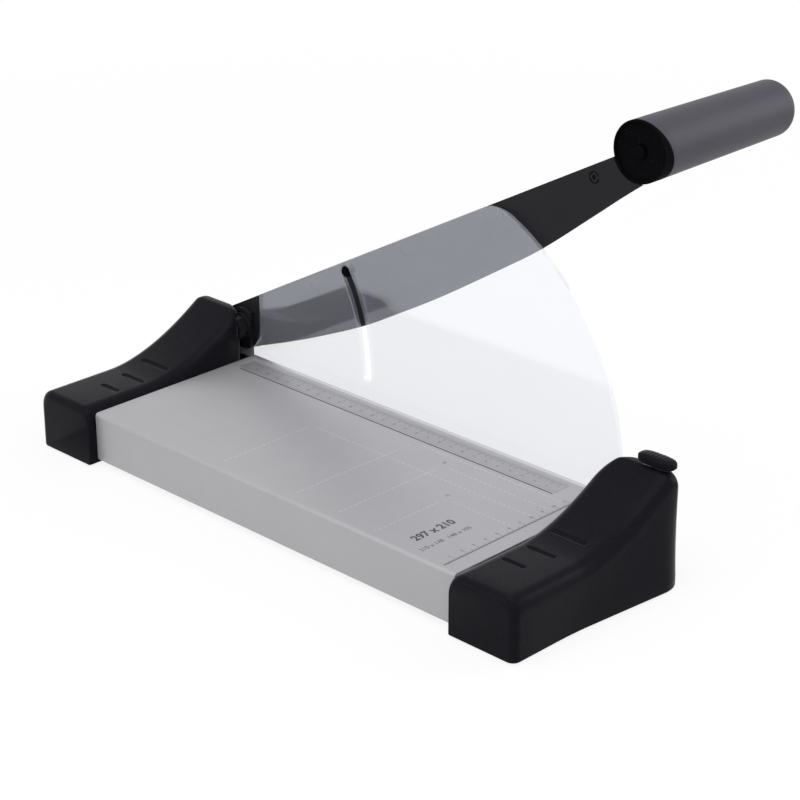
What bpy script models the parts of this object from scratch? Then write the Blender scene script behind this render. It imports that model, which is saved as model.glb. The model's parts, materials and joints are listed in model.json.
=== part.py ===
"""Guillotine paper cutter for photographs and A4 sheets.

A folded metal table stands between two moulded end caps. A curved blade on a flat
arm swings about a bolt at the far cap, behind a clear guard. The arm's guide stud
runs in an arc slot of the guard, which stops the arm when it is fully raised.
The arm is modelled raised. +Y points from the handle end to the pivot end, +X to
the cutting edge, and +Z up. Lengths are in metres.
"""
import math

import bmesh
import bpy
from mathutils import Vector

# Shared clearances
SEAT_GAP = 0.0003
CUT_OVERRUN = 0.004
RUNNING_CLEARANCE = 0.00008

# Table
TABLE_LENGTH = 0.320
TABLE_WIDTH = 0.140
TABLE_HEIGHT = 0.037
TABLE_SHEET = 0.0016
TABLE_FOLD_RADIUS = 0.0022
SKIRT_BOTTOM = 0.0032
SKIRT_FLANGE = 0.012

# Scale strip let into the table
STRIP_WIDTH = 0.0130
STRIP_THICKNESS = 0.0007
STRIP_POCKET = 0.0008
STRIP_FAR_MARGIN = 0.008
STRIP_NEAR_MARGIN = 0.029
STRIP_TO_GUARD = 0.0018

# Rails, ribs and floor pan
RAIL_SHEET = 0.0022
RAIL_WIDTH = 0.014
RAIL_BOTTOM = 0.0062
RAIL_REACH = 0.030
RIB_WIDTH = 0.014
RIB_HEIGHT = 0.016
RIB_SHEET = 0.0015
RIB_PLACE_SHARES = (-0.25, 0.25)
PAN_SHEET = 0.0010
PAN_BOTTOM = 0.0046
PAN_INSET = 0.0020
PAN_TONGUE_MARGIN = 0.018
PAN_TONGUE_REACH = 0.014

# Counter blade on the table's cutting edge
COUNTER_BLADE_WIDTH = 0.0030
COUNTER_BLADE_HEIGHT = 0.020
COUNTER_SCREW_RADIUS = 0.0030
COUNTER_SCREW_SHANK = 0.0015
COUNTER_SCREW_HEAD = 0.0014
COUNTER_SCREW_PLACE_SHARES = (-0.40, 0.0, 0.40)

# End caps
CAP_DEPTH = 0.0508
CAP_FRONT_OVERHANG = 0.006
CAP_BOTTOM = 0.0012
CAP_LOW_HEIGHT = 0.0405
CAP_PEAK_HEIGHT = 0.0705
CAP_RISE_LENGTH = 0.080
CAP_PLATEAU_LENGTH = 0.010
CAP_RISE_POWER_SHARE = 1.8
CAP_RISE_STEPS = 8
CAP_CORNER_STEPS = 8
CAP_WALL = 0.0026
CAP_TOP_RADIUS = 0.0090
CAP_TOP_WIDTH_SHARE = 0.45
CAP_FRONT_RADIUS = 0.0050
CAP_INNER_CORNER_RADIUS = 0.024
CAP_OUTER_CORNER_RADIUS = 0.007
CAP_FLARE = 0.0085
CAP_FLARE_LENGTH = 0.085
CAP_FOOT_CORNER_RADIUS = 0.0215
CAP_FOOT_HEIGHT = 0.006
CAP_END_DROP = 0.0060
CAP_WINDOW_DEPTH = 0.0052
CAP_EDGE_INSET = 0.0005
CAP_GROOVE_WIDTH = 0.0022
CAP_GROOVE_DEPTH = 0.0011
CAP_GROOVE_PITCH = 0.021
CAP_GROOVE_START = 0.026
CAP_GROOVE_LENGTHS = (0.018, 0.022, 0.027)
CAP_GROOVE_MARGIN = 0.010
COVER_THICKNESS = 0.0020
COVER_RECESS = 0.0006
COVER_SCREW_RADIUS = 0.0030
COVER_SCREW_SHANK = 0.0014
COVER_SCREW_LENGTH = 0.0070
COVER_SCREW_HEAD = 0.0012
COVER_SCREW_INSET = 0.040

# Rubber feet
FOOT_RADIUS = 0.0075
FOOT_FRONT_INSET = 0.014
FOOT_REAR_INSET = 0.016
FOOT_CHAMFER = 0.0006

# Pivot
PIVOT_BEYOND_TABLE = 0.0085
PIVOT_HEIGHT = 0.0575
PIVOT_RADIUS = 0.0050
BRACKET_SHEET = 0.0027
BRACKET_HEAD_RADIUS = 0.0125
BRACKET_LENGTH = 0.026
BRACKET_BOTTOM = 0.0065
BRACKET_LEG_LENGTH = 0.034
BRACKET_SCREW_RADIUS = 0.0034
BRACKET_SCREW_SHANK = 0.0019
BRACKET_SCREW_HEAD = 0.0016
BRACKET_SCREW_PLACES = (0.008, 0.026)
NUT_FLATS = 0.0150
NUT_THICKNESS = 0.0060
WASHER_RADIUS = 0.0090
WASHER_THICKNESS = 0.0012
SPRING_WASHER_DISH = 0.0008
BOLT_HEAD_RADIUS = 0.0085
BOLT_HEAD_HEIGHT = 0.0042
BOLT_EDGE_HEIGHT = 0.0025
BOLT_TOP_RADIUS = 0.0068
BOLT_SOCKET_FLATS = 0.0050
BOLT_SOCKET_DEPTH = 0.0022
BUSH_WALL = 0.0015
BUSH_FLANGE = 0.0008

# Arm, in its own frame: along the arm from the pivot, and above the pivot
ARM_RAISED_ANGLE = math.radians(28.5)
ARM_LOWERED_ANGLE = math.radians(-4.0)
ARM_TOP = 0.0150
HUB_RADIUS = 0.0170
HUB_CORNER_ANGLE = math.radians(101.5)
HUB_THICKNESS = 0.0085
HUB_LENGTH = 0.046
HUB_EDGE = 0.0006
BLADE_GAP = 0.0002
BLADE_THICKNESS = 0.0030
BLADE_TO_BAR_END = 0.012
BLADE_DEPTH = 0.0284
BLADE_TIP_DEPTH = 0.0052
BLADE_STATION_SHARES = (0.0, 0.14, 0.29, 0.39, 0.50, 0.65, 0.75, 0.87, 0.94, 1.0)
BLADE_DROP_SHARES = (0.50, 0.80, 1.0, 1.0, 0.957, 0.80, 0.66, 0.342, 0.145, 0.0)
BLADE_STEPS = 4
BLADE_GRIND_WIDTH = 0.0030
BLADE_GRIND_DEPTH = 0.0018
ARM_BAR_THICKNESS = 0.0050
ARM_BAR_HEIGHT = 0.0140
ARM_BAR_LENGTH = 0.4000
ARM_SCREW_RADIUS = 0.0036
ARM_SCREW_SHANK = 0.0019
ARM_SCREW_HEAD = 0.0018
ARM_SCREW_PLACE_SHARES = (0.2, 0.4375, 0.675, 0.875)

# Guide stud on the arm
GUIDE_RADIUS = 0.1245
GUIDE_OFFSET = 0.0085
STUD_RADIUS = 0.0022
ROLLER_RADIUS = 0.0037
SLOT_HALF_WIDTH = 0.0040
SLOT_LOW_ANGLE = math.radians(-0.4)

# Guard sheet
GUARD_THICKNESS = 0.0030
GUARD_TO_BLADE = 0.0035
GUARD_PAPER_GAP = 0.0008
GUARD_TOP_OFFSET = 0.0152
GUARD_ROOT_RADIUS = 0.0215
GUARD_ROOT_RISE = 0.0050
GUARD_TAIL = 0.0125
GUARD_ARC_RADIUS = 0.1613
GUARD_ARC_CENTRE_HEIGHT = 0.0503
GUARD_NEAR_REACH = 0.0085
GUARD_CORNER_RADIUS = 0.014
GUARD_TAB_BOTTOM = 0.0410
GUARD_SCREW_RADIUS = 0.0018
GUARD_SCREW_HEAD_RADIUS = 0.0034
GUARD_SCREW_HEAD = 0.0020
GUARD_SCREW_HEIGHT = 0.0500
GUARD_SCREW_INSET = 0.0045
GUARD_SLOT_CLEARANCE = 0.0004
GUARD_BRACKET_LENGTH = 0.0130
GUARD_BRACKET_TOP = 0.0560

# Handle grip, which stands out sideways from the end of the arm
GRIP_TO_BAR_END = 0.0117
GRIP_OFFSET = 0.0122
GRIP_ROOT_RADIUS = 0.0186
GRIP_TIP_RADIUS = 0.0174
GRIP_BORE_RADIUS = 0.0130
GRIP_LENGTH = 0.1190
GRIP_END_RADIUS = 0.0080
GRIP_END_WALL = 0.0040
GRIP_LIP_RADIUS = 0.0010
GRIP_ROD_RADIUS = 0.0040
GRIP_ROD_MARGIN = 0.0100
BOSS_RADIUS = 0.0187
BOSS_THICKNESS = 0.0108
BOSS_EDGE = 0.0012

# Blade lock on the near cap
LOCK_FROM_TABLE = 0.030
LOCK_BOLT_WIDTH = 0.0060
LOCK_BOLT_HEIGHT = 0.0055
LOCK_BOLT_LENGTH = 0.020
LOCK_ARM_CLEARANCE = 0.0010
LOCK_END_MARGIN = 0.0008
LOCK_STEM_LENGTH = 0.0045
LOCK_STEM_INSET = 0.0080
LOCK_KNOB_LENGTH = 0.0265
LOCK_KNOB_OFFSET = 0.0063
LOCK_KNOB_WIDTH = 0.0095
LOCK_KNOB_HEIGHT = 0.0074
LOCK_KNOB_BEVEL = 0.0030
LOCK_KNOB_END_MARGIN = 0.0012
LOCK_GUIDE_WALL = 0.0016
LOCK_GUIDE_MARGIN = 0.0040
LOCK_SLOT_CLEARANCE = 0.0003

# Stop that carries the lowered arm
STOP_WIDTH = 0.014
STOP_SHEET = 0.0020
STOP_BOTTOM = 0.0070
STOP_HEIGHT = 0.0150
STOP_REACH = 0.0105
STOP_PAD_WIDTH = 0.0046
STOP_PAD_EDGE = 0.0006
STOP_ARM_GAP = 0.0004

# Facets
WELD_DISTANCE = 0.000003
ROUND_FACES = 32
SMALL_FACES = 16
ARC_STEPS = 4
SMOOTH_ANGLE = math.radians(35.0)

# Derived places
TABLE_HALF = TABLE_LENGTH / 2
PIVOT_Y = TABLE_HALF + PIVOT_BEYOND_TABLE
CUTTING_EDGE = TABLE_WIDTH
CAP_RISE_END = CUTTING_EDGE - CAP_PLATEAU_LENGTH
CAP_RISE_START = CAP_RISE_END - CAP_RISE_LENGTH
COVER_SCREW_PLACES = (COVER_SCREW_INSET, CUTTING_EDGE - COVER_SCREW_INSET)
FOOT_PLACES = (FOOT_FRONT_INSET, CUTTING_EDGE - FOOT_REAR_INSET)
COUNTER_BLADE_START = CUTTING_EDGE - COUNTER_BLADE_WIDTH
BLADE_START = CUTTING_EDGE + BLADE_GAP
BLADE_END = BLADE_START + BLADE_THICKNESS
BAR_START = BLADE_END + SEAT_GAP
BAR_END = BAR_START + ARM_BAR_THICKNESS
HUB_END = BAR_START + HUB_THICKNESS
BRACKET_START = COUNTER_BLADE_START
BRACKET_END = BRACKET_START + BRACKET_SHEET
CAP_END = CUTTING_EDGE - SEAT_GAP
GUARD_END = BLADE_START - GUARD_TO_BLADE
GUARD_START = GUARD_END - GUARD_THICKNESS
GUARD_BOTTOM = TABLE_HEIGHT + GUARD_PAPER_GAP
STRIP_END = GUARD_START - STRIP_TO_GUARD
STRIP_START = STRIP_END - STRIP_WIDTH
RAIL_TOP = TABLE_HEIGHT - TABLE_SHEET - SEAT_GAP
RAIL_END = COUNTER_BLADE_START - SEAT_GAP
GUARD_ARC_CENTRE_Y = -TABLE_HALF - GUARD_NEAR_REACH + GUARD_ARC_RADIUS
BLADE_LENGTH = ARM_BAR_LENGTH - BLADE_TO_BAR_END
GRIP_PLACE = ARM_BAR_LENGTH - GRIP_TO_BAR_END
BOSS_END = BLADE_START + BOSS_THICKNESS


# Helpers for shapes

def clear_scene():
    for item in list(bpy.data.objects):
        bpy.data.objects.remove(item, do_unlink=True)


def material(name, colour, roughness, metallic=0.0, alpha=1.0):
    made = bpy.data.materials.new(name)
    made.use_nodes = True
    shader = made.node_tree.nodes["Principled BSDF"]
    shader.inputs["Base Color"].default_value = (*colour, 1.0)
    shader.inputs["Roughness"].default_value = roughness
    shader.inputs["Metallic"].default_value = metallic
    shader.inputs["Alpha"].default_value = alpha
    made.diffuse_color = (*colour, alpha)
    return made


def add_empty(name, location, parent=None):
    empty = bpy.data.objects.new(name, None)
    empty.empty_display_size = HUB_RADIUS
    bpy.context.collection.objects.link(empty)
    empty.parent = parent
    empty.location = location
    return empty


def add_object(name, builder, look, parent, location=(0, 0, 0)):
    bmesh.ops.remove_doubles(builder, verts=builder.verts, dist=WELD_DISTANCE)
    bmesh.ops.recalc_face_normals(builder, faces=builder.faces)
    mesh = bpy.data.meshes.new(name)
    builder.to_mesh(mesh)
    builder.free()
    made = bpy.data.objects.new(name, mesh)
    bpy.context.collection.objects.link(made)
    made.data.materials.append(look)
    made.parent = parent
    made.location = location
    return made


def smooth(made):
    made.data.shade_smooth()
    made.data.set_sharp_from_angle(angle=SMOOTH_ANGLE)
    return made


def lay(axis, along, first, second):
    """Turn a place along an axis and two across it into X, Y and Z."""
    if axis == "X":
        return Vector((along, first, second))
    if axis == "Y":
        return Vector((first, along, second))
    return Vector((first, second, along))


def prism(name, look, parent, axis, start, end, outline, location=(0, 0, 0)):
    """Extrude a closed outline from start to end along one axis."""
    builder = bmesh.new()
    corners = [builder.verts.new(lay(axis, start, *point)) for point in outline]
    face = builder.faces.new(corners)
    grown = bmesh.ops.extrude_face_region(builder, geom=[face])
    moved = [item for item in grown["geom"] if isinstance(item, bmesh.types.BMVert)]
    bmesh.ops.translate(builder, verts=moved, vec=lay(axis, end - start, 0, 0))
    return add_object(name, builder, look, parent, location)


def block(name, look, parent, low, high):
    """Make a box between two corners, held at its lowest corner."""
    size = Vector(high) - Vector(low)
    outline = [(0, 0), (size.x, 0), (size.x, size.y), (0, size.y)]
    return prism(name, look, parent, "Z", 0, size.z, outline, low)


def ring_solid(builder, rings, closed):
    """Join rings of points into a surface, with flat ends or as a closed loop."""
    loops = [[builder.verts.new(point) for point in ring] for ring in rings]
    pairs = list(zip(loops, loops[1:]))
    if closed:
        pairs.append((loops[-1], loops[0]))
    for first, second in pairs:
        count = len(first)
        for index in range(count):
            following = (index + 1) % count
            builder.faces.new((first[index], first[following],
                               second[following], second[index]))
    if not closed:
        builder.faces.new(loops[0])
        builder.faces.new(loops[-1])


def turned(name, look, parent, axis, profile, location, closed=False, faces=ROUND_FACES):
    """Turn a profile of (radius, place) pairs round an axis through its location."""
    builder = bmesh.new()
    rings = []
    for radius, place in profile:
        turns = [math.tau * index / faces for index in range(faces)]
        rings.append([lay(axis, place, radius * math.cos(turn), radius * math.sin(turn))
                      for turn in turns])
    ring_solid(builder, rings, closed)
    return smooth(add_object(name, builder, look, parent, location))


def rod(name, look, parent, axis, radius, start, end, location, faces=ROUND_FACES):
    return turned(name, look, parent, axis, [(radius, start), (radius, end)], location,
                  faces=faces)


def hexagon(flats):
    reach = flats / math.sqrt(3)
    turns = [math.tau * index / 6 for index in range(6)]
    return [(reach * math.cos(turn), reach * math.sin(turn)) for turn in turns]


def arc(centre, radius, start, end, steps=ARC_STEPS):
    turns = [start + (end - start) * index / steps for index in range(steps + 1)]
    return [(centre[0] + radius * math.cos(turn), centre[1] + radius * math.sin(turn))
            for turn in turns]


def cut(target, cutter):
    """Take the cutter out of the target, and hide the cutter."""
    cutter.hide_render = True
    cutter.display_type = "WIRE"
    modifier = target.modifiers.new(cutter.name, "BOOLEAN")
    modifier.operation = "DIFFERENCE"
    modifier.solver = "EXACT"
    modifier.object = cutter


def soften(made, width, segments=2):
    modifier = made.modifiers.new("edge", "BEVEL")
    modifier.width = width
    modifier.segments = segments
    modifier.limit_method = "ANGLE"
    modifier.angle_limit = SMOOTH_ANGLE
    return made


def smooth_curve(points, steps):
    """Read a smooth curve through the points, with a number of steps in each span."""
    padded = [points[0]] + list(points) + [points[-1]]
    read = []
    for index in range(1, len(padded) - 2):
        before, first, second, after = [Vector(item) for item in padded[index - 1:index + 3]]
        for step in range(steps):
            share = step / steps
            bend = (2 * first + (second - before) * share
                    + (2 * before - 5 * first + 4 * second - after) * share ** 2
                    + (3 * first - before - 3 * second + after) * share ** 3)
            read.append(tuple(bend / 2))
    read.append(tuple(points[-1]))
    return read


# Finishes

def make_looks():
    return {
        "table_metal": material("table_metal", (0.40, 0.395, 0.41), 0.42, 0.6),
        "strip_metal": material("strip_metal", (0.36, 0.355, 0.37), 0.40, 0.6),
        "frame_steel": material("frame_steel", (0.35, 0.35, 0.36), 0.5, 0.9),
        "bright_steel": material("bright_steel", (0.60, 0.60, 0.62), 0.28, 1.0),
        "cap_plastic": material("cap_plastic", (0.020, 0.020, 0.024), 0.50),
        "arm_black": material("arm_black", (0.018, 0.018, 0.022), 0.38),
        "grip_plastic": material("grip_plastic", (0.115, 0.112, 0.130), 0.36),
        "core_plastic": material("core_plastic", (0.010, 0.010, 0.012), 0.6),
        "guard_clear": material("guard_clear", (0.86, 0.88, 0.94), 0.08, alpha=0.3),
        "rubber": material("rubber", (0.015, 0.015, 0.015), 0.85),
        "bronze": material("bronze", (0.45, 0.27, 0.12), 0.35, 1.0),
        "nylon": material("nylon", (0.03, 0.03, 0.035), 0.5),
    }


# Table and frame

def table_outline():
    """Fold the sheet: a flange under the front skirt, the skirt, and the top."""
    outer = TABLE_FOLD_RADIUS
    inner = outer - TABLE_SHEET
    top = TABLE_HEIGHT
    edge = COUNTER_BLADE_START - SEAT_GAP
    outside = [(SKIRT_FLANGE, SKIRT_BOTTOM)]
    outside += arc((outer, SKIRT_BOTTOM + outer), outer, -math.pi / 2, -math.pi)
    outside += arc((outer, top - outer), outer, math.pi, math.pi / 2)
    outside += [(edge, top)]
    inside = [(edge, top - TABLE_SHEET)]
    inside += arc((outer, top - outer), inner, math.pi / 2, math.pi)
    inside += arc((outer, SKIRT_BOTTOM + outer), inner, math.pi, math.pi * 1.5)
    inside += [(SKIRT_FLANGE, SKIRT_BOTTOM + TABLE_SHEET)]
    return outside + inside


def channel_outline(start, width, bottom, height, sheet):
    """Outline a channel that is open towards -X."""
    end = start + width
    top = bottom + height
    return [(start, bottom), (end, bottom), (end, top), (start, top), (start, top - sheet),
            (end - sheet, top - sheet), (end - sheet, bottom + sheet), (start, bottom + sheet)]


def make_table(looks, frame):
    panel = prism("table_panel", looks["table_metal"], frame, "Y", -TABLE_HALF + SEAT_GAP,
                  TABLE_HALF - SEAT_GAP, table_outline())
    strip_near = -TABLE_HALF + STRIP_NEAR_MARGIN
    strip_far = TABLE_HALF - STRIP_FAR_MARGIN
    pocket_floor = TABLE_HEIGHT - STRIP_POCKET
    cut(panel, block("strip_pocket", looks["table_metal"], frame,
                     (STRIP_START - SEAT_GAP, strip_near - SEAT_GAP, pocket_floor),
                     (STRIP_END + SEAT_GAP, strip_far + SEAT_GAP, TABLE_HEIGHT + CUT_OVERRUN)))
    block("scale_strip", looks["strip_metal"], frame,
          (STRIP_START, strip_near, TABLE_HEIGHT - STRIP_THICKNESS),
          (STRIP_END, strip_far, TABLE_HEIGHT))
    rail_y = TABLE_HALF + RAIL_REACH
    rail_height = RAIL_TOP - RAIL_BOTTOM
    half = TABLE_HALF - SEAT_GAP
    prism("cutting_rail", looks["frame_steel"], frame, "Y", -half, half,
          channel_outline(RAIL_END - RAIL_WIDTH, RAIL_WIDTH, RAIL_BOTTOM, rail_height, RAIL_SHEET))
    front_start = TABLE_SHEET + SEAT_GAP
    mirrored = [(2 * front_start + RAIL_WIDTH - x, z) for x, z in channel_outline(
        front_start, RAIL_WIDTH, RAIL_BOTTOM, rail_height, RAIL_SHEET)]
    prism("front_rail", looks["frame_steel"], frame, "Y", -rail_y, rail_y, mirrored)
    make_ribs(looks, frame, front_start + RAIL_WIDTH, RAIL_END - RAIL_WIDTH)
    left = SKIRT_FLANGE + SEAT_GAP
    right = RAIL_END
    tongue_left = left + PAN_TONGUE_MARGIN
    tongue_right = right - PAN_TONGUE_MARGIN
    end = TABLE_HALF - PAN_INSET
    reach = TABLE_HALF + PAN_TONGUE_REACH
    outline = [(left, -end), (tongue_left, -end), (tongue_left, -reach), (tongue_right, -reach),
               (tongue_right, -end), (right, -end), (right, end), (tongue_right, end),
               (tongue_right, reach), (tongue_left, reach), (tongue_left, end), (left, end)]
    prism("floor_pan", looks["frame_steel"], frame, "Z", PAN_BOTTOM, PAN_BOTTOM + PAN_SHEET,
          outline)


def make_ribs(looks, frame, start, end):
    """Cross ribs carry the table between the two rails."""
    bottom = RAIL_TOP - RIB_HEIGHT
    for number, share in enumerate(RIB_PLACE_SHARES, 1):
        centre = share * TABLE_LENGTH
        outline = channel_outline(centre - RIB_WIDTH / 2, RIB_WIDTH, bottom, RIB_HEIGHT, RIB_SHEET)
        prism("cross_rib_%d" % number, looks["frame_steel"], frame, "X", start + SEAT_GAP,
              end - SEAT_GAP, outline)


def make_counter_blade(looks, frame):
    bottom = TABLE_HEIGHT - COUNTER_BLADE_HEIGHT
    bar = block("counter_blade", looks["bright_steel"], frame,
                (COUNTER_BLADE_START, -TABLE_HALF + SEAT_GAP, bottom),
                (CUTTING_EDGE, TABLE_HALF - SEAT_GAP, TABLE_HEIGHT))
    height = TABLE_HEIGHT - COUNTER_BLADE_HEIGHT / 2
    rail = bpy.data.objects["cutting_rail"]
    for number, share in enumerate(COUNTER_SCREW_PLACE_SHARES, 1):
        place = (CUTTING_EDGE, share * TABLE_LENGTH, height)
        reach = COUNTER_BLADE_WIDTH + SEAT_GAP + RAIL_SHEET
        head = [(COUNTER_SCREW_SHANK, -reach), (COUNTER_SCREW_SHANK, -COUNTER_SCREW_HEAD),
                (COUNTER_SCREW_RADIUS, -SEAT_GAP)]
        turned("counter_blade_screw_%d" % number, looks["bright_steel"], frame, "X", head, place,
               faces=SMALL_FACES)
        wide = [(radius + SEAT_GAP, along) for radius, along in head]
        wide[0] = (wide[0][0], wide[0][1] - CUT_OVERRUN)
        wide.append((wide[-1][0], CUT_OVERRUN))
        sink = turned("counter_blade_sink_%d" % number, looks["bright_steel"], frame, "X", wide,
                      place, faces=SMALL_FACES)
        cut(bar, sink)
        cut(rail, sink)


# End caps

def cap_top(x):
    """Height of a cap's ridge: level, then a hollow rise to the plateau."""
    share = (x - CAP_RISE_START) / (CAP_RISE_END - CAP_RISE_START)
    share = min(max(share, 0), 1)
    return CAP_LOW_HEIGHT + (CAP_PEAK_HEIGHT - CAP_LOW_HEIGHT) * share ** CAP_RISE_POWER_SHARE


def round_off(x, end, radius):
    """How far a corner of this radius draws a side in, at a place near its end."""
    reach = min(max(x - (end - radius), 0), radius)
    return radius - math.sqrt(max(radius ** 2 - reach ** 2, 0))


def cap_stations(wall):
    """Places along a cap where its section is drawn, more of them at its ends."""
    front = -CAP_FRONT_OVERHANG + wall
    end = CAP_END - wall
    radius = max(CAP_FRONT_RADIUS - wall, SEAT_GAP)
    steps = ARC_STEPS
    places = [front + radius * (1 - math.cos(math.pi / 2 * index / steps))
              for index in range(steps + 1)]
    corner = CAP_INNER_CORNER_RADIUS - wall
    rise_end = end - corner
    places += [CAP_RISE_START + (rise_end - CAP_RISE_START) * index / CAP_RISE_STEPS
               for index in range(CAP_RISE_STEPS)]
    places += [end - corner * (1 - math.sin(math.pi / 2 * index / CAP_CORNER_STEPS))
               for index in range(CAP_CORNER_STEPS + 1)]
    return places


def cap_flare(x):
    """How far a cap's foot stands out from its wall, more towards the cutting edge."""
    share = (x - CAP_RISE_END + CAP_FLARE_LENGTH) / CAP_FLARE_LENGTH
    return CAP_FLARE * min(max(share, 0), 1)


def cap_section(x, side, wall, bottom):
    """Draw one section across a cap, from its inner side over the top to its outer side."""
    front = -CAP_FRONT_OVERHANG + wall
    end = CAP_END - wall
    front_radius = max(CAP_FRONT_RADIUS - wall, SEAT_GAP)
    front_draw = round_off(2 * front + front_radius - x, front + front_radius, front_radius)
    inner = wall + SEAT_GAP + front_draw * CAP_EDGE_INSET / CAP_FRONT_RADIUS
    inner += round_off(x, end, CAP_INNER_CORNER_RADIUS - wall)
    outer = CAP_DEPTH - wall - front_draw
    foot = outer + cap_flare(x) - round_off(x, end, CAP_FOOT_CORNER_RADIUS - wall)
    outer -= round_off(x, end, CAP_OUTER_CORNER_RADIUS - wall)
    top = cap_top(x) - wall - front_draw - round_off(x, end, CAP_END_DROP)
    radius = min(CAP_TOP_RADIUS - wall, (outer - inner) * CAP_TOP_WIDTH_SHARE)
    points = [(inner, bottom)]
    points += arc((inner + radius, top - radius), radius, math.pi, math.pi / 2)
    points += arc((outer - radius, top - radius), radius, math.pi / 2, 0)
    points += [(foot, CAP_BOTTOM + CAP_FOOT_HEIGHT), (foot, bottom)]
    return [Vector((x, side * (TABLE_HALF + across), height)) for across, height in points]


def cap_solid(name, look, parent, side, wall, bottom):
    builder = bmesh.new()
    rings = [cap_section(x, side, wall, bottom) for x in cap_stations(wall)]
    ring_solid(builder, rings, closed=False)
    return smooth(add_object(name, builder, look, parent))


def cap_plan(inset):
    """Outline a cap from above, drawn in by a distance."""
    stations = cap_stations(inset)
    sections = [cap_section(x, 1, inset, CAP_BOTTOM) for x in stations]
    inner = [(x, section[0].y) for x, section in zip(stations, sections)]
    outer = [(x, section[-1].y) for x, section in zip(stations, sections)]
    return inner + outer[::-1]


def make_cap(looks, frame, name, side):
    plastic = looks["cap_plastic"]
    cap = cap_solid(name, plastic, frame, side, 0, CAP_BOTTOM)
    cut(cap, cap_solid(name + "_hollow", plastic, frame, side, CAP_WALL,
                       CAP_BOTTOM - CUT_OVERRUN))
    across = sorted((side * (TABLE_HALF - CUT_OVERRUN), side * (TABLE_HALF + CAP_WINDOW_DEPTH)))
    cut(cap, block(name + "_rail_window", plastic, frame,
                   (TABLE_SHEET, across[0], RAIL_BOTTOM - SEAT_GAP),
                   (TABLE_SHEET + RAIL_WIDTH + 2 * SEAT_GAP, across[1], RAIL_TOP + SEAT_GAP)))
    cut(cap, block(name + "_pan_window", plastic, frame,
                   (SKIRT_FLANGE + PAN_TONGUE_MARGIN, across[0], PAN_BOTTOM - SEAT_GAP),
                   (RAIL_END + SEAT_GAP - PAN_TONGUE_MARGIN, across[1],
                    PAN_BOTTOM + PAN_SHEET + SEAT_GAP)))
    for number, length in enumerate(CAP_GROOVE_LENGTHS):
        start = CAP_GROOVE_START + CAP_GROOVE_PITCH * number
        floor = cap_top(start) - CAP_GROOVE_DEPTH
        across = sorted((side * (TABLE_HALF + CAP_GROOVE_MARGIN),
                         side * (TABLE_HALF + CAP_GROOVE_MARGIN + length)))
        cut(cap, block("%s_groove_%d" % (name, number + 1), plastic, frame,
                       (start, across[0], floor),
                       (start + CAP_GROOVE_WIDTH, across[1], floor + CUT_OVERRUN)))
    make_cap_cover(looks, frame, name, side)
    return cap


def make_cap_cover(looks, frame, name, side):
    """A plate closes the cap from below and carries two feet."""
    inset = CAP_WALL + SEAT_GAP
    outline = [(x, side * y) for x, y in cap_plan(inset)]
    floor = CAP_BOTTOM + COVER_RECESS
    cover = prism(name + "_cover", looks["core_plastic"], frame, "Z", floor,
                  floor + COVER_THICKNESS, outline)
    middle = side * (TABLE_HALF + CAP_DEPTH / 2)
    for number, x in enumerate(COVER_SCREW_PLACES, 1):
        top = COVER_SCREW_LENGTH
        profile = [(COVER_SCREW_RADIUS, 0), (COVER_SCREW_RADIUS, COVER_SCREW_HEAD),
                   (COVER_SCREW_SHANK, COVER_SCREW_HEAD), (COVER_SCREW_SHANK, top)]
        place = (x, middle, floor - SEAT_GAP)
        turned("%s_screw_%d" % (name, number), looks["bright_steel"], frame, "Z", profile, place,
               faces=SMALL_FACES)
        wide = [(radius + SEAT_GAP, along + SEAT_GAP) for radius, along in profile]
        wide[0] = (wide[0][0], -CUT_OVERRUN)
        wide[-1] = (wide[-1][0], top + CUT_OVERRUN)
        cut(cover, turned("%s_screw_hole_%d" % (name, number), looks["core_plastic"], frame, "Z",
                          wide, place, faces=SMALL_FACES))
    for number, x in enumerate(FOOT_PLACES, 1):
        top = floor - SEAT_GAP
        profile = [(FOOT_RADIUS - FOOT_CHAMFER, 0), (FOOT_RADIUS, FOOT_CHAMFER),
                   (FOOT_RADIUS, top)]
        turned("%s_foot_%d" % (name, number), looks["rubber"], frame, "Z", profile,
               (x, middle, 0), faces=SMALL_FACES)


# Pivot

def make_pivot(looks, frame, far_cap):
    """A bracket on the cutting rail holds the bolt that the arm turns on."""
    centre = Vector((0, PIVOT_Y, PIVOT_HEIGHT))
    near = TABLE_HALF + SEAT_GAP
    far = near + BRACKET_LENGTH
    leg_top = TABLE_HEIGHT - COUNTER_BLADE_HEIGHT - SEAT_GAP
    leg_end = TABLE_HALF - BRACKET_LEG_LENGTH
    head = [point for point in arc((PIVOT_Y, PIVOT_HEIGHT), BRACKET_HEAD_RADIUS, math.pi, 0,
                                   3 * ARC_STEPS) if point[0] >= near]
    upright = [(near, head[0][1])] + head + [(far, RAIL_TOP), (far, BRACKET_BOTTOM)]
    outline = [(leg_end, BRACKET_BOTTOM), (leg_end, leg_top), (near, leg_top)] + upright
    bracket = prism("pivot_bracket", looks["arm_black"], frame, "X", BRACKET_START,
                    BRACKET_END, outline)
    hole = PIVOT_RADIUS + RUNNING_CLEARANCE
    cut(bracket, rod("pivot_bracket_hole", looks["frame_steel"], frame, "X", hole,
                     BRACKET_START - CUT_OVERRUN, BRACKET_END + CUT_OVERRUN, centre))
    make_bracket_screws(looks, frame, "pivot_bracket_screw", bracket, 1)
    wide = [(y + (SEAT_GAP if y > PIVOT_Y else -CUT_OVERRUN), z + SEAT_GAP) for y, z in upright]
    wide[-1] = (wide[-1][0], 0)
    wide.append((wide[0][0], 0))
    cut(far_cap, prism("pivot_bracket_notch", looks["frame_steel"], frame, "X",
                       BRACKET_START - SEAT_GAP, BRACKET_END + CUT_OVERRUN, wide))
    make_pivot_stack(looks, frame, centre, far_cap)


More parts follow.
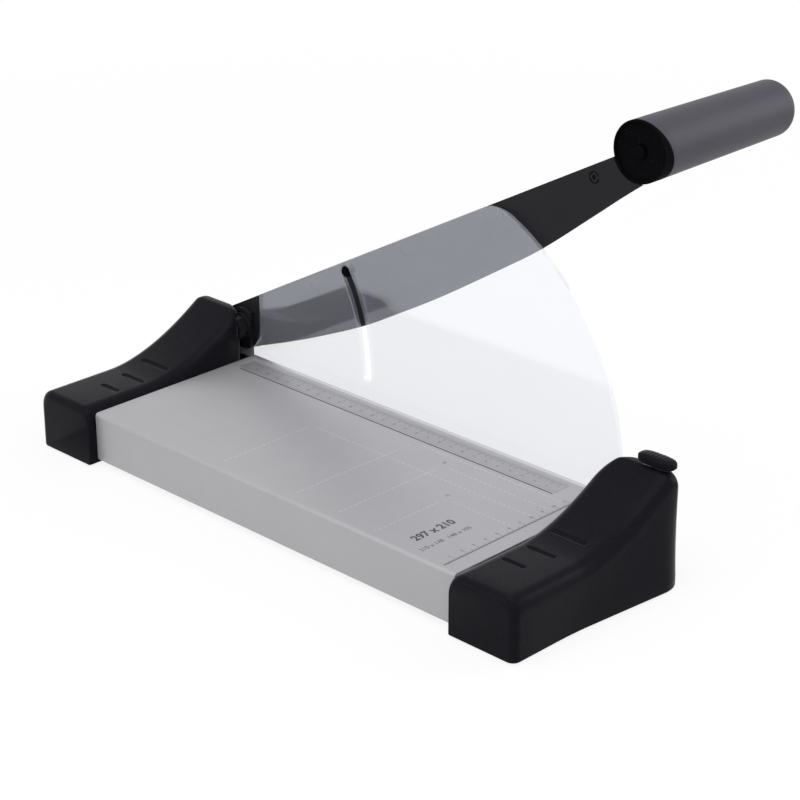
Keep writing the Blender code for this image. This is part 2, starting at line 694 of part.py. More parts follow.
def make_bracket_screws(looks, frame, name, bracket, side):
    """Screws fix the leg of a bracket to the cutting rail, under the counter blade."""
    height = (BRACKET_BOTTOM + TABLE_HEIGHT - COUNTER_BLADE_HEIGHT) / 2
    rail = bpy.data.objects["cutting_rail"]
    for number, inset in enumerate(BRACKET_SCREW_PLACES, 1):
        place = (BRACKET_END, side * (TABLE_HALF - inset), height)
        reach = BRACKET_SHEET + SEAT_GAP + RAIL_SHEET
        profile = [(BRACKET_SCREW_SHANK, -reach), (BRACKET_SCREW_SHANK, -BRACKET_SCREW_HEAD),
                   (BRACKET_SCREW_RADIUS, -SEAT_GAP)]
        turned("%s_%d" % (name, number), looks["bright_steel"], frame, "X", profile, place,
               faces=SMALL_FACES)
        wide = [(radius + SEAT_GAP, along) for radius, along in profile]
        wide[0] = (wide[0][0], wide[0][1] - CUT_OVERRUN)
        wide.append((wide[-1][0], CUT_OVERRUN))
        sink = turned("%s_sink_%d" % (name, number), looks["bright_steel"], frame, "X", wide,
                      place, faces=SMALL_FACES)
        cut(bracket, sink)
        cut(rail, sink)


def make_pivot_stack(looks, frame, centre, far_cap):
    steel = looks["arm_black"]
    shank_end = HUB_END + BUSH_FLANGE + WASHER_THICKNESS + 3 * SEAT_GAP
    nut_end = BRACKET_START - SPRING_WASHER_DISH - WASHER_THICKNESS - 2 * SEAT_GAP
    nut_start = nut_end - NUT_THICKNESS
    profile = [(PIVOT_RADIUS, nut_start), (PIVOT_RADIUS, shank_end),
               (BOLT_HEAD_RADIUS, shank_end), (BOLT_HEAD_RADIUS, shank_end + BOLT_EDGE_HEIGHT),
               (BOLT_TOP_RADIUS, shank_end + BOLT_HEAD_HEIGHT)]
    bolt = turned("pivot_bolt", steel, frame, "X", profile, centre)
    head_top = shank_end + BOLT_HEAD_HEIGHT
    socket = prism("pivot_bolt_socket", steel, frame, "X", head_top - BOLT_SOCKET_DEPTH,
                   head_top + CUT_OVERRUN, hexagon(BOLT_SOCKET_FLATS), centre)
    cut(bolt, socket)
    bore = PIVOT_RADIUS + SEAT_GAP
    nut = prism("pivot_lock_nut", steel, frame, "X", nut_start, nut_end, hexagon(NUT_FLATS), centre)
    cut(nut, rod("pivot_lock_nut_thread", steel, frame, "X", bore, nut_start - CUT_OVERRUN,
                 nut_end + CUT_OVERRUN, centre))
    dish = [(bore, nut_end + SEAT_GAP), (bore, nut_end + SEAT_GAP + WASHER_THICKNESS),
            (WASHER_RADIUS, nut_end + SEAT_GAP + WASHER_THICKNESS + SPRING_WASHER_DISH),
            (WASHER_RADIUS, nut_end + SEAT_GAP + SPRING_WASHER_DISH)]
    turned("pivot_spring_washer", steel, frame, "X", dish, centre, closed=True)
    washer_end = shank_end - SEAT_GAP
    flat = [(bore, washer_end - WASHER_THICKNESS), (bore, washer_end),
            (WASHER_RADIUS, washer_end), (WASHER_RADIUS, washer_end - WASHER_THICKNESS)]
    turned("pivot_washer", steel, frame, "X", flat, centre, closed=True)
    pocket = max(WASHER_RADIUS, NUT_FLATS / math.sqrt(3)) + 2 * SEAT_GAP
    cut(far_cap, rod("pivot_nut_pocket", looks["cap_plastic"], frame, "X", pocket,
                     nut_start - SEAT_GAP, BRACKET_END + CUT_OVERRUN, centre))


# Arm

def blade_edge():
    """Places along the blade's cutting edge, from the root to the tip."""
    span = BLADE_DEPTH - BLADE_TIP_DEPTH
    points = [(BLADE_LENGTH * along, -BLADE_TIP_DEPTH - span * drop)
              for along, drop in zip(BLADE_STATION_SHARES, BLADE_DROP_SHARES)]
    return smooth_curve(points, BLADE_STEPS)


def arm_side(points):
    """The arm lies along -Y of its own frame."""
    return [(-along, above) for along, above in points]


def hub_round():
    """The round end of the arm behind the pivot, level at the arm's top."""
    turn = arc((0, 0), HUB_RADIUS, HUB_CORNER_ANGLE, math.pi * 3 / 2, 3 * ARC_STEPS)
    return [(along, min(above, ARM_TOP)) for along, above in turn]


def blade_outline():
    return hub_round() + blade_edge()[1:] + [(BLADE_LENGTH, ARM_TOP)]


def make_blade(looks, pivot):
    """The blade: a flat sheet whose lower edge is ground on its outer side."""
    outline = blade_outline()
    builder = bmesh.new()
    count = len(outline)
    edge_start = 3 * ARC_STEPS + 1
    edge_stop = count - 1
    inner = []
    outer = []
    middle = []
    for index, (along, above) in enumerate(outline):
        ground = edge_start <= index < edge_stop
        rise = BLADE_GRIND_WIDTH if ground else 0
        depth = BLADE_GRIND_DEPTH if ground else 0
        inner.append(builder.verts.new((BLADE_START, -along, above)))
        middle.append(builder.verts.new((BLADE_END - depth, -along, above)))
        outer.append(builder.verts.new((BLADE_END, -along, above + rise)))
    for index in range(count):
        following = (index + 1) % count
        builder.faces.new((inner[index], inner[following], middle[following], middle[index]))
        builder.faces.new((middle[index], middle[following], outer[following], outer[index]))
    builder.faces.new(inner)
    builder.faces.new(outer)
    blade = add_object("blade", builder, looks["arm_black"], pivot)
    cut(blade, rod("blade_pivot_hole", looks["arm_black"], pivot, "X",
                   PIVOT_RADIUS + RUNNING_CLEARANCE, BLADE_START - CUT_OVERRUN,
                   BLADE_END + CUT_OVERRUN, (0, 0, 0)))
    return blade


def make_arm_bar(looks, pivot):
    """A flat bar backs the blade and runs on into the boss of the grip."""
    bottom = ARM_TOP - ARM_BAR_HEIGHT
    start = HUB_LENGTH + SEAT_GAP
    outline = [(start, bottom), (ARM_BAR_LENGTH, bottom), (ARM_BAR_LENGTH, ARM_TOP),
               (start, ARM_TOP)]
    bar = prism("arm_bar", looks["arm_black"], pivot, "X", BAR_START, BAR_END,
                arm_side(outline))
    hub = hub_round() + [(HUB_RADIUS, -HUB_RADIUS), (HUB_LENGTH, bottom), (HUB_LENGTH, ARM_TOP)]
    block_made = prism("hub_block", looks["arm_black"], pivot, "X", BAR_START, HUB_END,
                       arm_side(hub))
    soften(block_made, HUB_EDGE, 1)
    bush_radius = PIVOT_RADIUS + BUSH_WALL
    cut(block_made, rod("hub_bore", looks["arm_black"], pivot, "X", bush_radius + SEAT_GAP,
                        BAR_START - CUT_OVERRUN, HUB_END + CUT_OVERRUN, (0, 0, 0)))
    inner = PIVOT_RADIUS + RUNNING_CLEARANCE
    flange = HUB_END + SEAT_GAP
    profile = [(inner, BAR_START + SEAT_GAP), (bush_radius, BAR_START + SEAT_GAP),
               (bush_radius, flange), (WASHER_RADIUS, flange),
               (WASHER_RADIUS, flange + BUSH_FLANGE), (inner, flange + BUSH_FLANGE)]
    turned("pivot_bush", looks["bronze"], pivot, "X", profile, (0, 0, 0), closed=True)
    return bar


def make_arm_screws(looks, pivot, blade, bar):
    """Flat screws hold the blade to its bar, flush on the cutting side."""
    height = ARM_TOP - ARM_BAR_HEIGHT / 2
    for number, share in enumerate(ARM_SCREW_PLACE_SHARES, 1):
        place = (0, -share * ARM_BAR_LENGTH, height)
        start = BLADE_START + SEAT_GAP
        profile = [(ARM_SCREW_RADIUS, start), (ARM_SCREW_SHANK, start + ARM_SCREW_HEAD),
                   (ARM_SCREW_SHANK, BAR_END - SEAT_GAP)]
        turned("blade_screw_%d" % number, looks["arm_black"], pivot, "X", profile, place,
               faces=SMALL_FACES)
        wide = [(radius + SEAT_GAP, x) for radius, x in profile]
        wide.insert(0, (wide[0][0], start - CUT_OVERRUN))
        wide[-1] = (wide[-1][0], BAR_END + CUT_OVERRUN)
        sink = turned("blade_screw_sink_%d" % number, looks["arm_black"], pivot, "X", wide, place,
                      faces=SMALL_FACES)
        cut(blade, sink)
        cut(bar, sink)


def make_guide(looks, pivot, blade, bar):
    """A stud with a roller runs in the arc slot of the guard."""
    along = math.sqrt(GUIDE_RADIUS ** 2 - GUIDE_OFFSET ** 2)
    place = (0, -along, GUIDE_OFFSET)
    start = GUARD_START + SEAT_GAP
    stud_end = BAR_END - SEAT_GAP
    rod("guide_stud", looks["bright_steel"], pivot, "X", STUD_RADIUS, start, stud_end, place,
        SMALL_FACES)
    bore = STUD_RADIUS + SEAT_GAP
    roller_end = BLADE_START - SEAT_GAP
    profile = [(bore, start), (bore, roller_end), (ROLLER_RADIUS, roller_end),
               (ROLLER_RADIUS, start)]
    turned("guide_roller", looks["nylon"], pivot, "X", profile, place, closed=True,
           faces=SMALL_FACES)
    hole = rod("guide_stud_hole", looks["bright_steel"], pivot, "X", bore,
               BLADE_START - CUT_OVERRUN, BAR_END + CUT_OVERRUN, place, SMALL_FACES)
    cut(blade, hole)
    cut(bar, hole)


# Grip

def make_boss(looks, pivot, blade, bar, centre):
    """A round boss takes the end of the bar, and the blade ends against it."""
    black = looks["core_plastic"]
    edge = BOSS_EDGE
    profile = [(BOSS_RADIUS - edge, BLADE_START), (BOSS_RADIUS, BLADE_START + edge),
               (BOSS_RADIUS, BOSS_END)]
    boss = turned("grip_boss", black, pivot, "X", profile, centre)
    low = ARM_TOP - ARM_BAR_HEIGHT - SEAT_GAP
    cut(boss, block("grip_boss_pocket", black, pivot,
                    (BAR_START - SEAT_GAP, -ARM_BAR_LENGTH - SEAT_GAP, low),
                    (BAR_END + SEAT_GAP, CUT_OVERRUN - GRIP_PLACE + BOSS_RADIUS,
                     ARM_TOP + SEAT_GAP)))
    cut(blade, rod("blade_boss_seat", black, pivot, "X", BOSS_RADIUS + SEAT_GAP,
                   BLADE_START - CUT_OVERRUN, BLADE_END + CUT_OVERRUN, centre))
    reach = BOSS_END + GRIP_LENGTH - GRIP_ROD_MARGIN
    rod("grip_rod", looks["bright_steel"], pivot, "X", GRIP_ROD_RADIUS, BLADE_START + SEAT_GAP,
        reach, centre, SMALL_FACES)
    hole = rod("grip_rod_hole", looks["bright_steel"], pivot, "X", GRIP_ROD_RADIUS + SEAT_GAP,
               BLADE_START - CUT_OVERRUN, reach + SEAT_GAP, centre, SMALL_FACES)
    cut(boss, hole)
    cut(bar, hole)
    return hole


def make_grip(looks, pivot, blade, bar):
    """A hollow grip stands out from the boss on a rod, round at its far end."""
    centre = (0, -GRIP_PLACE, GRIP_OFFSET)
    hole = make_boss(looks, pivot, blade, bar, centre)
    start = BOSS_END + SEAT_GAP
    stop = start + GRIP_LENGTH
    bore_floor = stop - GRIP_END_WALL
    lip = GRIP_LIP_RADIUS
    end = GRIP_END_RADIUS
    profile = [(GRIP_BORE_RADIUS, start), (GRIP_ROOT_RADIUS - lip, start),
               (GRIP_ROOT_RADIUS, start + lip)]
    profile += arc((GRIP_TIP_RADIUS - end, stop - end), end, 0, math.pi / 2, 2 * ARC_STEPS)
    builder = bmesh.new()
    rings = []
    turns = [math.tau * index / ROUND_FACES for index in range(ROUND_FACES)]
    for radius, place in [(GRIP_BORE_RADIUS, bore_floor)] + profile:
        rings.append([lay("X", place, radius * math.cos(turn), radius * math.sin(turn))
                      for turn in turns])
    ring_solid(builder, rings, closed=False)
    smooth(add_object("grip", builder, looks["grip_plastic"], pivot, centre))
    core = rod("grip_core", looks["core_plastic"], pivot, "X", GRIP_BORE_RADIUS - SEAT_GAP,
               start, bore_floor - SEAT_GAP, centre)
    cut(core, hole)


# Guard

def guard_top_line(along):
    """A place on the guard's top edge, at a distance from the pivot along the raised arm."""
    reach_y = -math.cos(ARM_RAISED_ANGLE)
    reach_z = math.sin(ARM_RAISED_ANGLE)
    offset = GUARD_TOP_OFFSET
    return (PIVOT_Y + along * reach_y + offset * reach_z,
            PIVOT_HEIGHT + along * reach_z - offset * reach_y)


def guard_corner():
    """Where the top edge meets the outer arc, as a distance along the arm."""
    centre = Vector((GUARD_ARC_CENTRE_Y, GUARD_ARC_CENTRE_HEIGHT))
    start = Vector(guard_top_line(0))
    heading = Vector((-math.cos(ARM_RAISED_ANGLE), math.sin(ARM_RAISED_ANGLE)))
    offset = start - centre
    half = offset.dot(heading)
    rest = offset.length_squared - GUARD_ARC_RADIUS ** 2
    return -half + math.sqrt(half ** 2 - rest)


def guard_outline():
    corner_reach = guard_corner()
    corner = Vector(guard_top_line(corner_reach))
    before = Vector(guard_top_line(corner_reach - GUARD_CORNER_RADIUS))
    centre = (GUARD_ARC_CENTRE_Y, GUARD_ARC_CENTRE_HEIGHT)
    corner_turn = math.atan2(corner.y - centre[1], corner.x - centre[0])
    after_turn = corner_turn + GUARD_CORNER_RADIUS / GUARD_ARC_RADIUS
    outer = arc(centre, GUARD_ARC_RADIUS, after_turn, math.pi, 6 * ARC_STEPS)
    after = Vector(outer[0])
    rounded = []
    for step in range(ARC_STEPS):
        share = step / ARC_STEPS
        point = before.lerp(corner, share).lerp(corner.lerp(after, share), share)
        rounded.append(tuple(point))
    root_centre = (PIVOT_Y, PIVOT_HEIGHT + GUARD_ROOT_RISE)
    root_turn = math.asin((GUARD_TAIL - PIVOT_BEYOND_TABLE) / GUARD_ROOT_RADIUS)
    root = arc(root_centre, GUARD_ROOT_RADIUS, math.pi * 1.5 + root_turn, math.pi, 3 * ARC_STEPS)
    left = PIVOT_Y - GUARD_ROOT_RADIUS
    slope = math.tan(ARM_RAISED_ANGLE)
    start = guard_top_line(0)
    top_left = (left, start[1] + (start[0] - left) * slope)
    near = outer[-1][0]
    return ([(PIVOT_Y + GUARD_TAIL - PIVOT_BEYOND_TABLE, GUARD_BOTTOM)] + root + [top_left]
            + rounded + outer + [(near, GUARD_TAB_BOTTOM), (-TABLE_HALF, GUARD_TAB_BOTTOM),
                                 (-TABLE_HALF + SEAT_GAP, GUARD_BOTTOM)])


def slot_outline():
    """An arc slot round the pivot, with round ends."""
    top_turn = ARM_RAISED_ANGLE + math.asin(GUIDE_OFFSET / GUIDE_RADIUS)
    low = math.pi - SLOT_LOW_ANGLE
    high = math.pi - top_turn
    centre = (PIVOT_Y, PIVOT_HEIGHT)
    steps = 4 * ARC_STEPS
    outside = arc(centre, GUIDE_RADIUS + SLOT_HALF_WIDTH, low, high, steps)
    inside = arc(centre, GUIDE_RADIUS - SLOT_HALF_WIDTH, high, low, steps)
    high_end = (centre[0] + GUIDE_RADIUS * math.cos(high), centre[1] + GUIDE_RADIUS * math.sin(high))
    low_end = (centre[0] + GUIDE_RADIUS * math.cos(low), centre[1] + GUIDE_RADIUS * math.sin(low))
    high_round = arc(high_end, SLOT_HALF_WIDTH, high, high - math.pi, 2 * ARC_STEPS)[1:-1]
    low_round = arc(low_end, SLOT_HALF_WIDTH, low + math.pi, low, 2 * ARC_STEPS)[1:-1]
    return outside + high_round + inside + low_round


def make_guard(looks, frame, near_cap, far_cap):
    clear = looks["guard_clear"]
    guard = prism("guard", clear, frame, "X", GUARD_START, GUARD_END, guard_outline())
    cut(guard, prism("guard_slot", clear, frame, "X", GUARD_START - CUT_OVERRUN,
                     GUARD_END + CUT_OVERRUN, slot_outline()))
    screw_y = -TABLE_HALF - GUARD_NEAR_REACH + GUARD_SCREW_INSET
    place = (0, screw_y, GUARD_SCREW_HEIGHT)
    head_start = GUARD_START - SEAT_GAP - GUARD_SCREW_HEAD
    profile = [(GUARD_SCREW_HEAD_RADIUS, head_start),
               (GUARD_SCREW_HEAD_RADIUS, head_start + GUARD_SCREW_HEAD),
               (GUARD_SCREW_RADIUS, head_start + GUARD_SCREW_HEAD),
               (GUARD_SCREW_RADIUS, BRACKET_END)]
    turned("guard_screw", looks["bright_steel"], frame, "X", profile, place, faces=SMALL_FACES)
    hole = rod("guard_screw_hole", looks["bright_steel"], frame, "X", GUARD_SCREW_RADIUS + SEAT_GAP,
               GUARD_START - CUT_OVERRUN, BRACKET_END + CUT_OVERRUN, place, SMALL_FACES)
    cut(guard, hole)
    make_guard_bracket(looks, frame, near_cap, hole)
    clearance = GUARD_SLOT_CLEARANCE
    near_end = -TABLE_HALF - GUARD_NEAR_REACH - clearance
    cut(near_cap, block("guard_near_entry", clear, frame,
                        (GUARD_START - clearance, near_end, TABLE_HEIGHT),
                        (BRACKET_END + CUT_OVERRUN, -TABLE_HALF + CUT_OVERRUN,
                         CAP_PEAK_HEIGHT + CUT_OVERRUN)))
    cut(near_cap, rod("guard_screw_pocket", clear, frame, "X",
                      GUARD_SCREW_HEAD_RADIUS + clearance, head_start - CUT_OVERRUN,
                      GUARD_START, place, SMALL_FACES))
    tail_top = PIVOT_HEIGHT + GUARD_ROOT_RISE - GUARD_ROOT_RADIUS * math.cos(
        math.asin((GUARD_TAIL - PIVOT_BEYOND_TABLE) / GUARD_ROOT_RADIUS))
    cut(far_cap, block("guard_far_entry", clear, frame,
                       (GUARD_START - clearance, TABLE_HALF - CUT_OVERRUN, TABLE_HEIGHT),
                       (GUARD_END + CUT_OVERRUN, TABLE_HALF + GUARD_TAIL + clearance,
                        tail_top + clearance)))


def make_guard_bracket(looks, frame, near_cap, hole):
    """A plate on the cutting rail carries the guard's near end."""
    near = -TABLE_HALF - SEAT_GAP
    far = near - GUARD_BRACKET_LENGTH
    leg_top = TABLE_HEIGHT - COUNTER_BLADE_HEIGHT - SEAT_GAP
    leg_end = -TABLE_HALF + BRACKET_LEG_LENGTH
    outline = [(leg_end, BRACKET_BOTTOM), (leg_end, leg_top), (near, leg_top),
               (near, GUARD_BRACKET_TOP), (far, GUARD_BRACKET_TOP), (far, BRACKET_BOTTOM)]
    bracket = prism("guard_bracket", looks["frame_steel"], frame, "X", BRACKET_START,
                    BRACKET_END, outline)
    cut(bracket, hole)
    make_bracket_screws(looks, frame, "guard_bracket_screw", bracket, -1)
    cut(near_cap, block("guard_bracket_notch", looks["frame_steel"], frame,
                        (BRACKET_START - SEAT_GAP, far - SEAT_GAP, 0),
                        (BRACKET_END + CUT_OVERRUN, near + CUT_OVERRUN,
                         GUARD_BRACKET_TOP + SEAT_GAP)))


# Blade lock

def make_lock(looks, frame, near_cap):
    """A sliding bolt in the near cap that locks the lowered arm, with a thumb knob."""
    centre_y = -TABLE_HALF - LOCK_FROM_TABLE
    span = PIVOT_Y - centre_y
    top_of_arm = (PIVOT_HEIGHT + span * math.tan(ARM_LOWERED_ANGLE)
                  + ARM_TOP / math.cos(ARM_LOWERED_ANGLE))
    bottom = top_of_arm + LOCK_ARM_CLEARANCE
    slide = add_empty("lock_slide", (CAP_END - LOCK_END_MARGIN, centre_y, bottom), frame)
    half = LOCK_BOLT_WIDTH / 2
    stem_top = CAP_PEAK_HEIGHT - bottom + SEAT_GAP
    stem_start = -LOCK_STEM_INSET
    outline = [(-LOCK_BOLT_LENGTH, 0), (0, 0), (0, LOCK_BOLT_HEIGHT),
               (stem_start + LOCK_STEM_LENGTH, LOCK_BOLT_HEIGHT),
               (stem_start + LOCK_STEM_LENGTH, stem_top), (stem_start, stem_top),
               (stem_start, LOCK_BOLT_HEIGHT), (-LOCK_BOLT_LENGTH, LOCK_BOLT_HEIGHT)]
    prism("lock_bolt", looks["frame_steel"], slide, "Y", -half, half, outline)
    knob_end = -LOCK_KNOB_END_MARGIN
    knob_bottom = stem_top + SEAT_GAP
    knob_side = LOCK_KNOB_LENGTH / 2 - LOCK_KNOB_OFFSET
    knob = block("lock_knob", looks["cap_plastic"], slide,
                 (knob_end - LOCK_KNOB_WIDTH, knob_side - LOCK_KNOB_LENGTH, knob_bottom),
                 (knob_end, knob_side, knob_bottom + LOCK_KNOB_HEIGHT))
    soften(knob, LOCK_KNOB_BEVEL, 3)
    clearance = LOCK_SLOT_CLEARANCE
    travel_start = stem_start - clearance
    cutter = prism("lock_path", looks["cap_plastic"], slide, "Y", -half - clearance,
                   half + clearance,
                   [(travel_start, -clearance), (CUT_OVERRUN, -clearance),
                    (CUT_OVERRUN, stem_top + CUT_OVERRUN), (travel_start, stem_top + CUT_OVERRUN)])
    cut(near_cap, cutter)
    wall = LOCK_GUIDE_WALL
    guide_start = CAP_END - LOCK_END_MARGIN - LOCK_BOLT_LENGTH
    guide_end = CAP_END - CAP_WALL - LOCK_GUIDE_MARGIN
    low = bottom - clearance - wall
    guide = [(-half - clearance - wall, low), (half + clearance + wall, low),
             (half + clearance + wall, bottom + LOCK_BOLT_HEIGHT),
             (half + clearance, bottom + LOCK_BOLT_HEIGHT), (half + clearance, bottom - clearance),
             (-half - clearance, bottom - clearance),
             (-half - clearance, bottom + LOCK_BOLT_HEIGHT),
             (-half - clearance - wall, bottom + LOCK_BOLT_HEIGHT)]
    prism("lock_guide", looks["frame_steel"], frame, "X", guide_start, guide_end,
          [(centre_y + y, z) for y, z in guide])


def make_stop(looks, frame):
    """A bracket with a rubber pad under the bar of the lowered arm."""
    centre_y = -TABLE_HALF - LOCK_FROM_TABLE
    span = PIVOT_Y - centre_y - STOP_WIDTH / 2
    bar_bottom = ARM_TOP - ARM_BAR_HEIGHT
    under = (PIVOT_HEIGHT + (span + STOP_WIDTH) * math.tan(ARM_LOWERED_ANGLE)
             + bar_bottom / math.cos(ARM_LOWERED_ANGLE))
    near = centre_y - STOP_WIDTH / 2
    far = centre_y + STOP_WIDTH / 2
    wall_start = CAP_END + SEAT_GAP
    wall_end = wall_start + STOP_SHEET
    shelf_bottom = STOP_HEIGHT - STOP_SHEET
    outline = [(wall_start, STOP_BOTTOM), (wall_end, STOP_BOTTOM), (wall_end, shelf_bottom),
               (wall_start + STOP_REACH, shelf_bottom), (wall_start + STOP_REACH, STOP_HEIGHT),
               (wall_start, STOP_HEIGHT)]
    prism("stop_bracket", looks["frame_steel"], frame, "Y", near, far, outline)
    pad_start = BAR_START
    pad = block("stop_pad", looks["rubber"], frame,
                (pad_start, near, STOP_HEIGHT + SEAT_GAP),
                (pad_start + STOP_PAD_WIDTH, far, under - STOP_ARM_GAP))
    soften(pad, STOP_PAD_EDGE, 1)


# Whole object

def settle(frame):
    """Place the frame so that the object's box stands centred on the origin."""
    bpy.context.view_layer.update()
    graph = bpy.context.evaluated_depsgraph_get()
    corners = []
    for item in bpy.data.objects:
        if item.type == "MESH" and not item.hide_render:
            shape = item.evaluated_get(graph)
            corners += [item.matrix_world @ vertex.co for vertex in shape.data.vertices]
    low = [min(corner[axis] for corner in corners) for axis in range(3)]
    high = [max(corner[axis] for corner in corners) for axis in range(3)]
    frame.location = (-(low[0] + high[0]) / 2, -(low[1] + high[1]) / 2, -low[2])
    bpy.context.view_layer.update()


def main():
    clear_scene()
    looks = make_looks()
    frame = add_empty("cutter_frame", (0, 0, 0))
    make_table(looks, frame)
    make_counter_blade(looks, frame)
    near_cap = make_cap(looks, frame, "near_cap", -1)
    far_cap = make_cap(looks, frame, "far_cap", 1)
    make_pivot(looks, frame, far_cap)
    make_guard(looks, frame, near_cap, far_cap)
    make_lock(looks, frame, near_cap)
    make_stop(looks, frame)
    pivot = add_empty("arm_pivot", (0, PIVOT_Y, PIVOT_HEIGHT), frame)
    pivot.rotation_euler.x = -ARM_RAISED_ANGLE
    blade = make_blade(looks, pivot)
    bar = make_arm_bar(looks, pivot)
    make_arm_screws(looks, pivot, blade, bar)
    make_guide(looks, pivot, blade, bar)
    make_grip(looks, pivot, blade, bar)
    settle(frame)


main()
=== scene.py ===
"""Finished look of a guillotine paper cutter, built round its fixed frame.

The caps, the guard, the grip, the lock knob, the feet and the screws are modelled
finely here, and the printed scales are laid on the table. +Y points from the handle
end to the pivot end, +X to the cutting edge, and +Z up. Lengths are in metres.
"""
import json
import math

import bmesh
import bpy
from mathutils import Matrix, Vector

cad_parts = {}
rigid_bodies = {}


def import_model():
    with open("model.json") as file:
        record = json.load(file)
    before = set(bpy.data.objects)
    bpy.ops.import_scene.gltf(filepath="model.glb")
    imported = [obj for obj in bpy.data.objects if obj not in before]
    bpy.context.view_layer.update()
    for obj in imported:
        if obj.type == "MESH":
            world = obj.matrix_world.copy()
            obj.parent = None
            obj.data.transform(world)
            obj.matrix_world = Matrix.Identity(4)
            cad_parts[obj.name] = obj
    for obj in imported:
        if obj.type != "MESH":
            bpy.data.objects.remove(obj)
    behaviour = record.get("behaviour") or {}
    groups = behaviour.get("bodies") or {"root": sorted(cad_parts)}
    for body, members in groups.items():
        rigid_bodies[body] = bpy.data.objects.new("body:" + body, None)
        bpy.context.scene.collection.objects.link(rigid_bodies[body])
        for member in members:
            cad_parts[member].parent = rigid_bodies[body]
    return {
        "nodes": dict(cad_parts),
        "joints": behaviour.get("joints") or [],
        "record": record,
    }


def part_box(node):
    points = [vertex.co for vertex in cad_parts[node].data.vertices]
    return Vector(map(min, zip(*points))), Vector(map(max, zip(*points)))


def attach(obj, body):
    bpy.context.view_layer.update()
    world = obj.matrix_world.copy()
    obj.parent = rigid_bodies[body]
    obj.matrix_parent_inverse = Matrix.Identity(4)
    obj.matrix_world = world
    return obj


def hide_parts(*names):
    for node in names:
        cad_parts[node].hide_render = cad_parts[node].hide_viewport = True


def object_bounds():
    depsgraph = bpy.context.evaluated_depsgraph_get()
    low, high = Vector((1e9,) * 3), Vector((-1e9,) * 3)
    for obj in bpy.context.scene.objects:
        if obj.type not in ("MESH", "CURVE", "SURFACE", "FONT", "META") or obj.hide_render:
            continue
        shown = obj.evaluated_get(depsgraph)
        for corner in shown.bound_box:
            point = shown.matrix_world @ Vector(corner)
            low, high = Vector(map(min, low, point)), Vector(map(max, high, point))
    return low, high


for item in list(bpy.data.objects):
    bpy.data.objects.remove(item, do_unlink=True)
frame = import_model()

bl_info = {
    "name": "Guillotine Paper Cutter Finish",
    "version": (1, 0, 0),
    "blender": (4, 5, 0),
    "location": "View3D > Sidebar > Cutter",
    "description": "Dresses the frame of a guillotine paper cutter with finished pieces",
    "category": "Object",
}

CAD_LOW, CAD_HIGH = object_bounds()
TABLE_LOW, TABLE_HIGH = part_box("table_panel")
STRIP_LOW, STRIP_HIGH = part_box("scale_strip")
GUARD_LOW, GUARD_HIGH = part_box("guard")
GRIP_LOW, GRIP_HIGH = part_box("grip")
BOSS_LOW, BOSS_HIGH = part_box("grip_boss")
PIVOT = Vector(next(joint["pos_m"] for joint in frame["joints"] if joint["name"] == "arm_swing"))
TABLE_HALF = (TABLE_HIGH.y - TABLE_LOW.y) / 2
SEAT_GAP = 0.0003
GUARD_ROOM = SEAT_GAP + SEAT_GAP / 3
OVERRUN = 0.004
WELD_DISTANCE = 0.000002
PIN_RADIUS = 0.0002
RAISED_ANGLE = math.radians(28.5)
SMOOTH_ANGLE = math.radians(32.0)
QUARTER = math.pi / 2
SIDES = {"near_cap": -1, "far_cap": 1}

# Faces and steps
FRONT_STEPS = 10
LEVEL_STEPS = 5
RISE_STEPS = 30
CORNER_STEPS = 24
RIDGE_STEPS = 12
WALL_STEPS = 6
GUARD_CORNER_STEPS = 14
SLOT_STEPS = 48
SLOT_END_STEPS = 16
HOLE_FACES = 48
GRIP_FACES = 128
KNOB_STEPS = 60
KNOB_FACES = 40

# Shares that shape the caps, the knob and the screw heads
CAP_RISE_POWER = 1.8
CAP_EDGE_SHARE = 0.1
CAP_TOP_SHARE = 0.45
CAP_FLARE_EASE = 0.01
KNOB_END_SHARE = 0.35
KNOB_SQUARENESS = 0.55
KNOB_RIDGE_SHARE = 0.055
KNOB_RIDGED_LENGTH = 0.7
KNOB_RIDGES = 10
HEX_SHARE = 0.42
HEX_DEPTH_SHARE = 0.20
FOOT_HOLLOW = (0.40, 0.46)
FOOT_RING = (0.70, 0.72, 0.78, 0.80)

# Places, lengths and angles on single pieces
GROOVE_SPANS = (0.018, 0.022, 0.027)
BAR_ROOM_LOW = (-0.4003, 0.0007)
BAR_ROOM_HIGH = (-0.3653, 0.0153)
SLOT_END = math.radians(0.4)
BROAD_AREA = 0.001

# Printed scales, and figures as (text, from the table's front, y, height, weight)
SCALE_START = 0.004
SCALE_END = 0.115
SCALE_FROM_CAP = 0.0115
SCALE_PITCH = 0.001
SCALE_MARKS = 112
SCALE_REACHES = (0.0034, 0.0025, 0.0014)
STRIP_PITCH = 0.0025
STRIP_REACHES = (0.0046, 0.0032, 0.0020)
STRIP_INSET = 0.0008
STRIP_LINE_GAP = 0.0022
STRIP_LINE_END = 0.003
FIGURE_PITCH = 0.010
FIGURE_GAP = 0.0042
TABLE_FIGURE = 0.0024
TABLE_FIGURES = 11
STRIP_FIGURE = 0.0020
STRIP_FIGURES = 27
DASH = 0.0024
DASH_PITCH = 0.004
DASHES_FROM_FRONT = 0.010
DASHES_FROM_CAP = 0.018
DASHES_END = 0.002
FORMATS = ((0.099, -0.057), (0.067, -0.090), (0.112, -0.020), (0.085, 0.045))
LETTER_SCALE = 1.4
FORMAT_FIGURES = (
    ("297 x 210", 0.0315, -0.1160, 0.0060, 0.00030),
    ("210 x 148   148 x 105", 0.0285, -0.1275, 0.0034, 0.0),
    ("10", 0.103, -0.0555, 0.0024, 0.0),
    ("15", 0.071, -0.0885, 0.0024, 0.0))

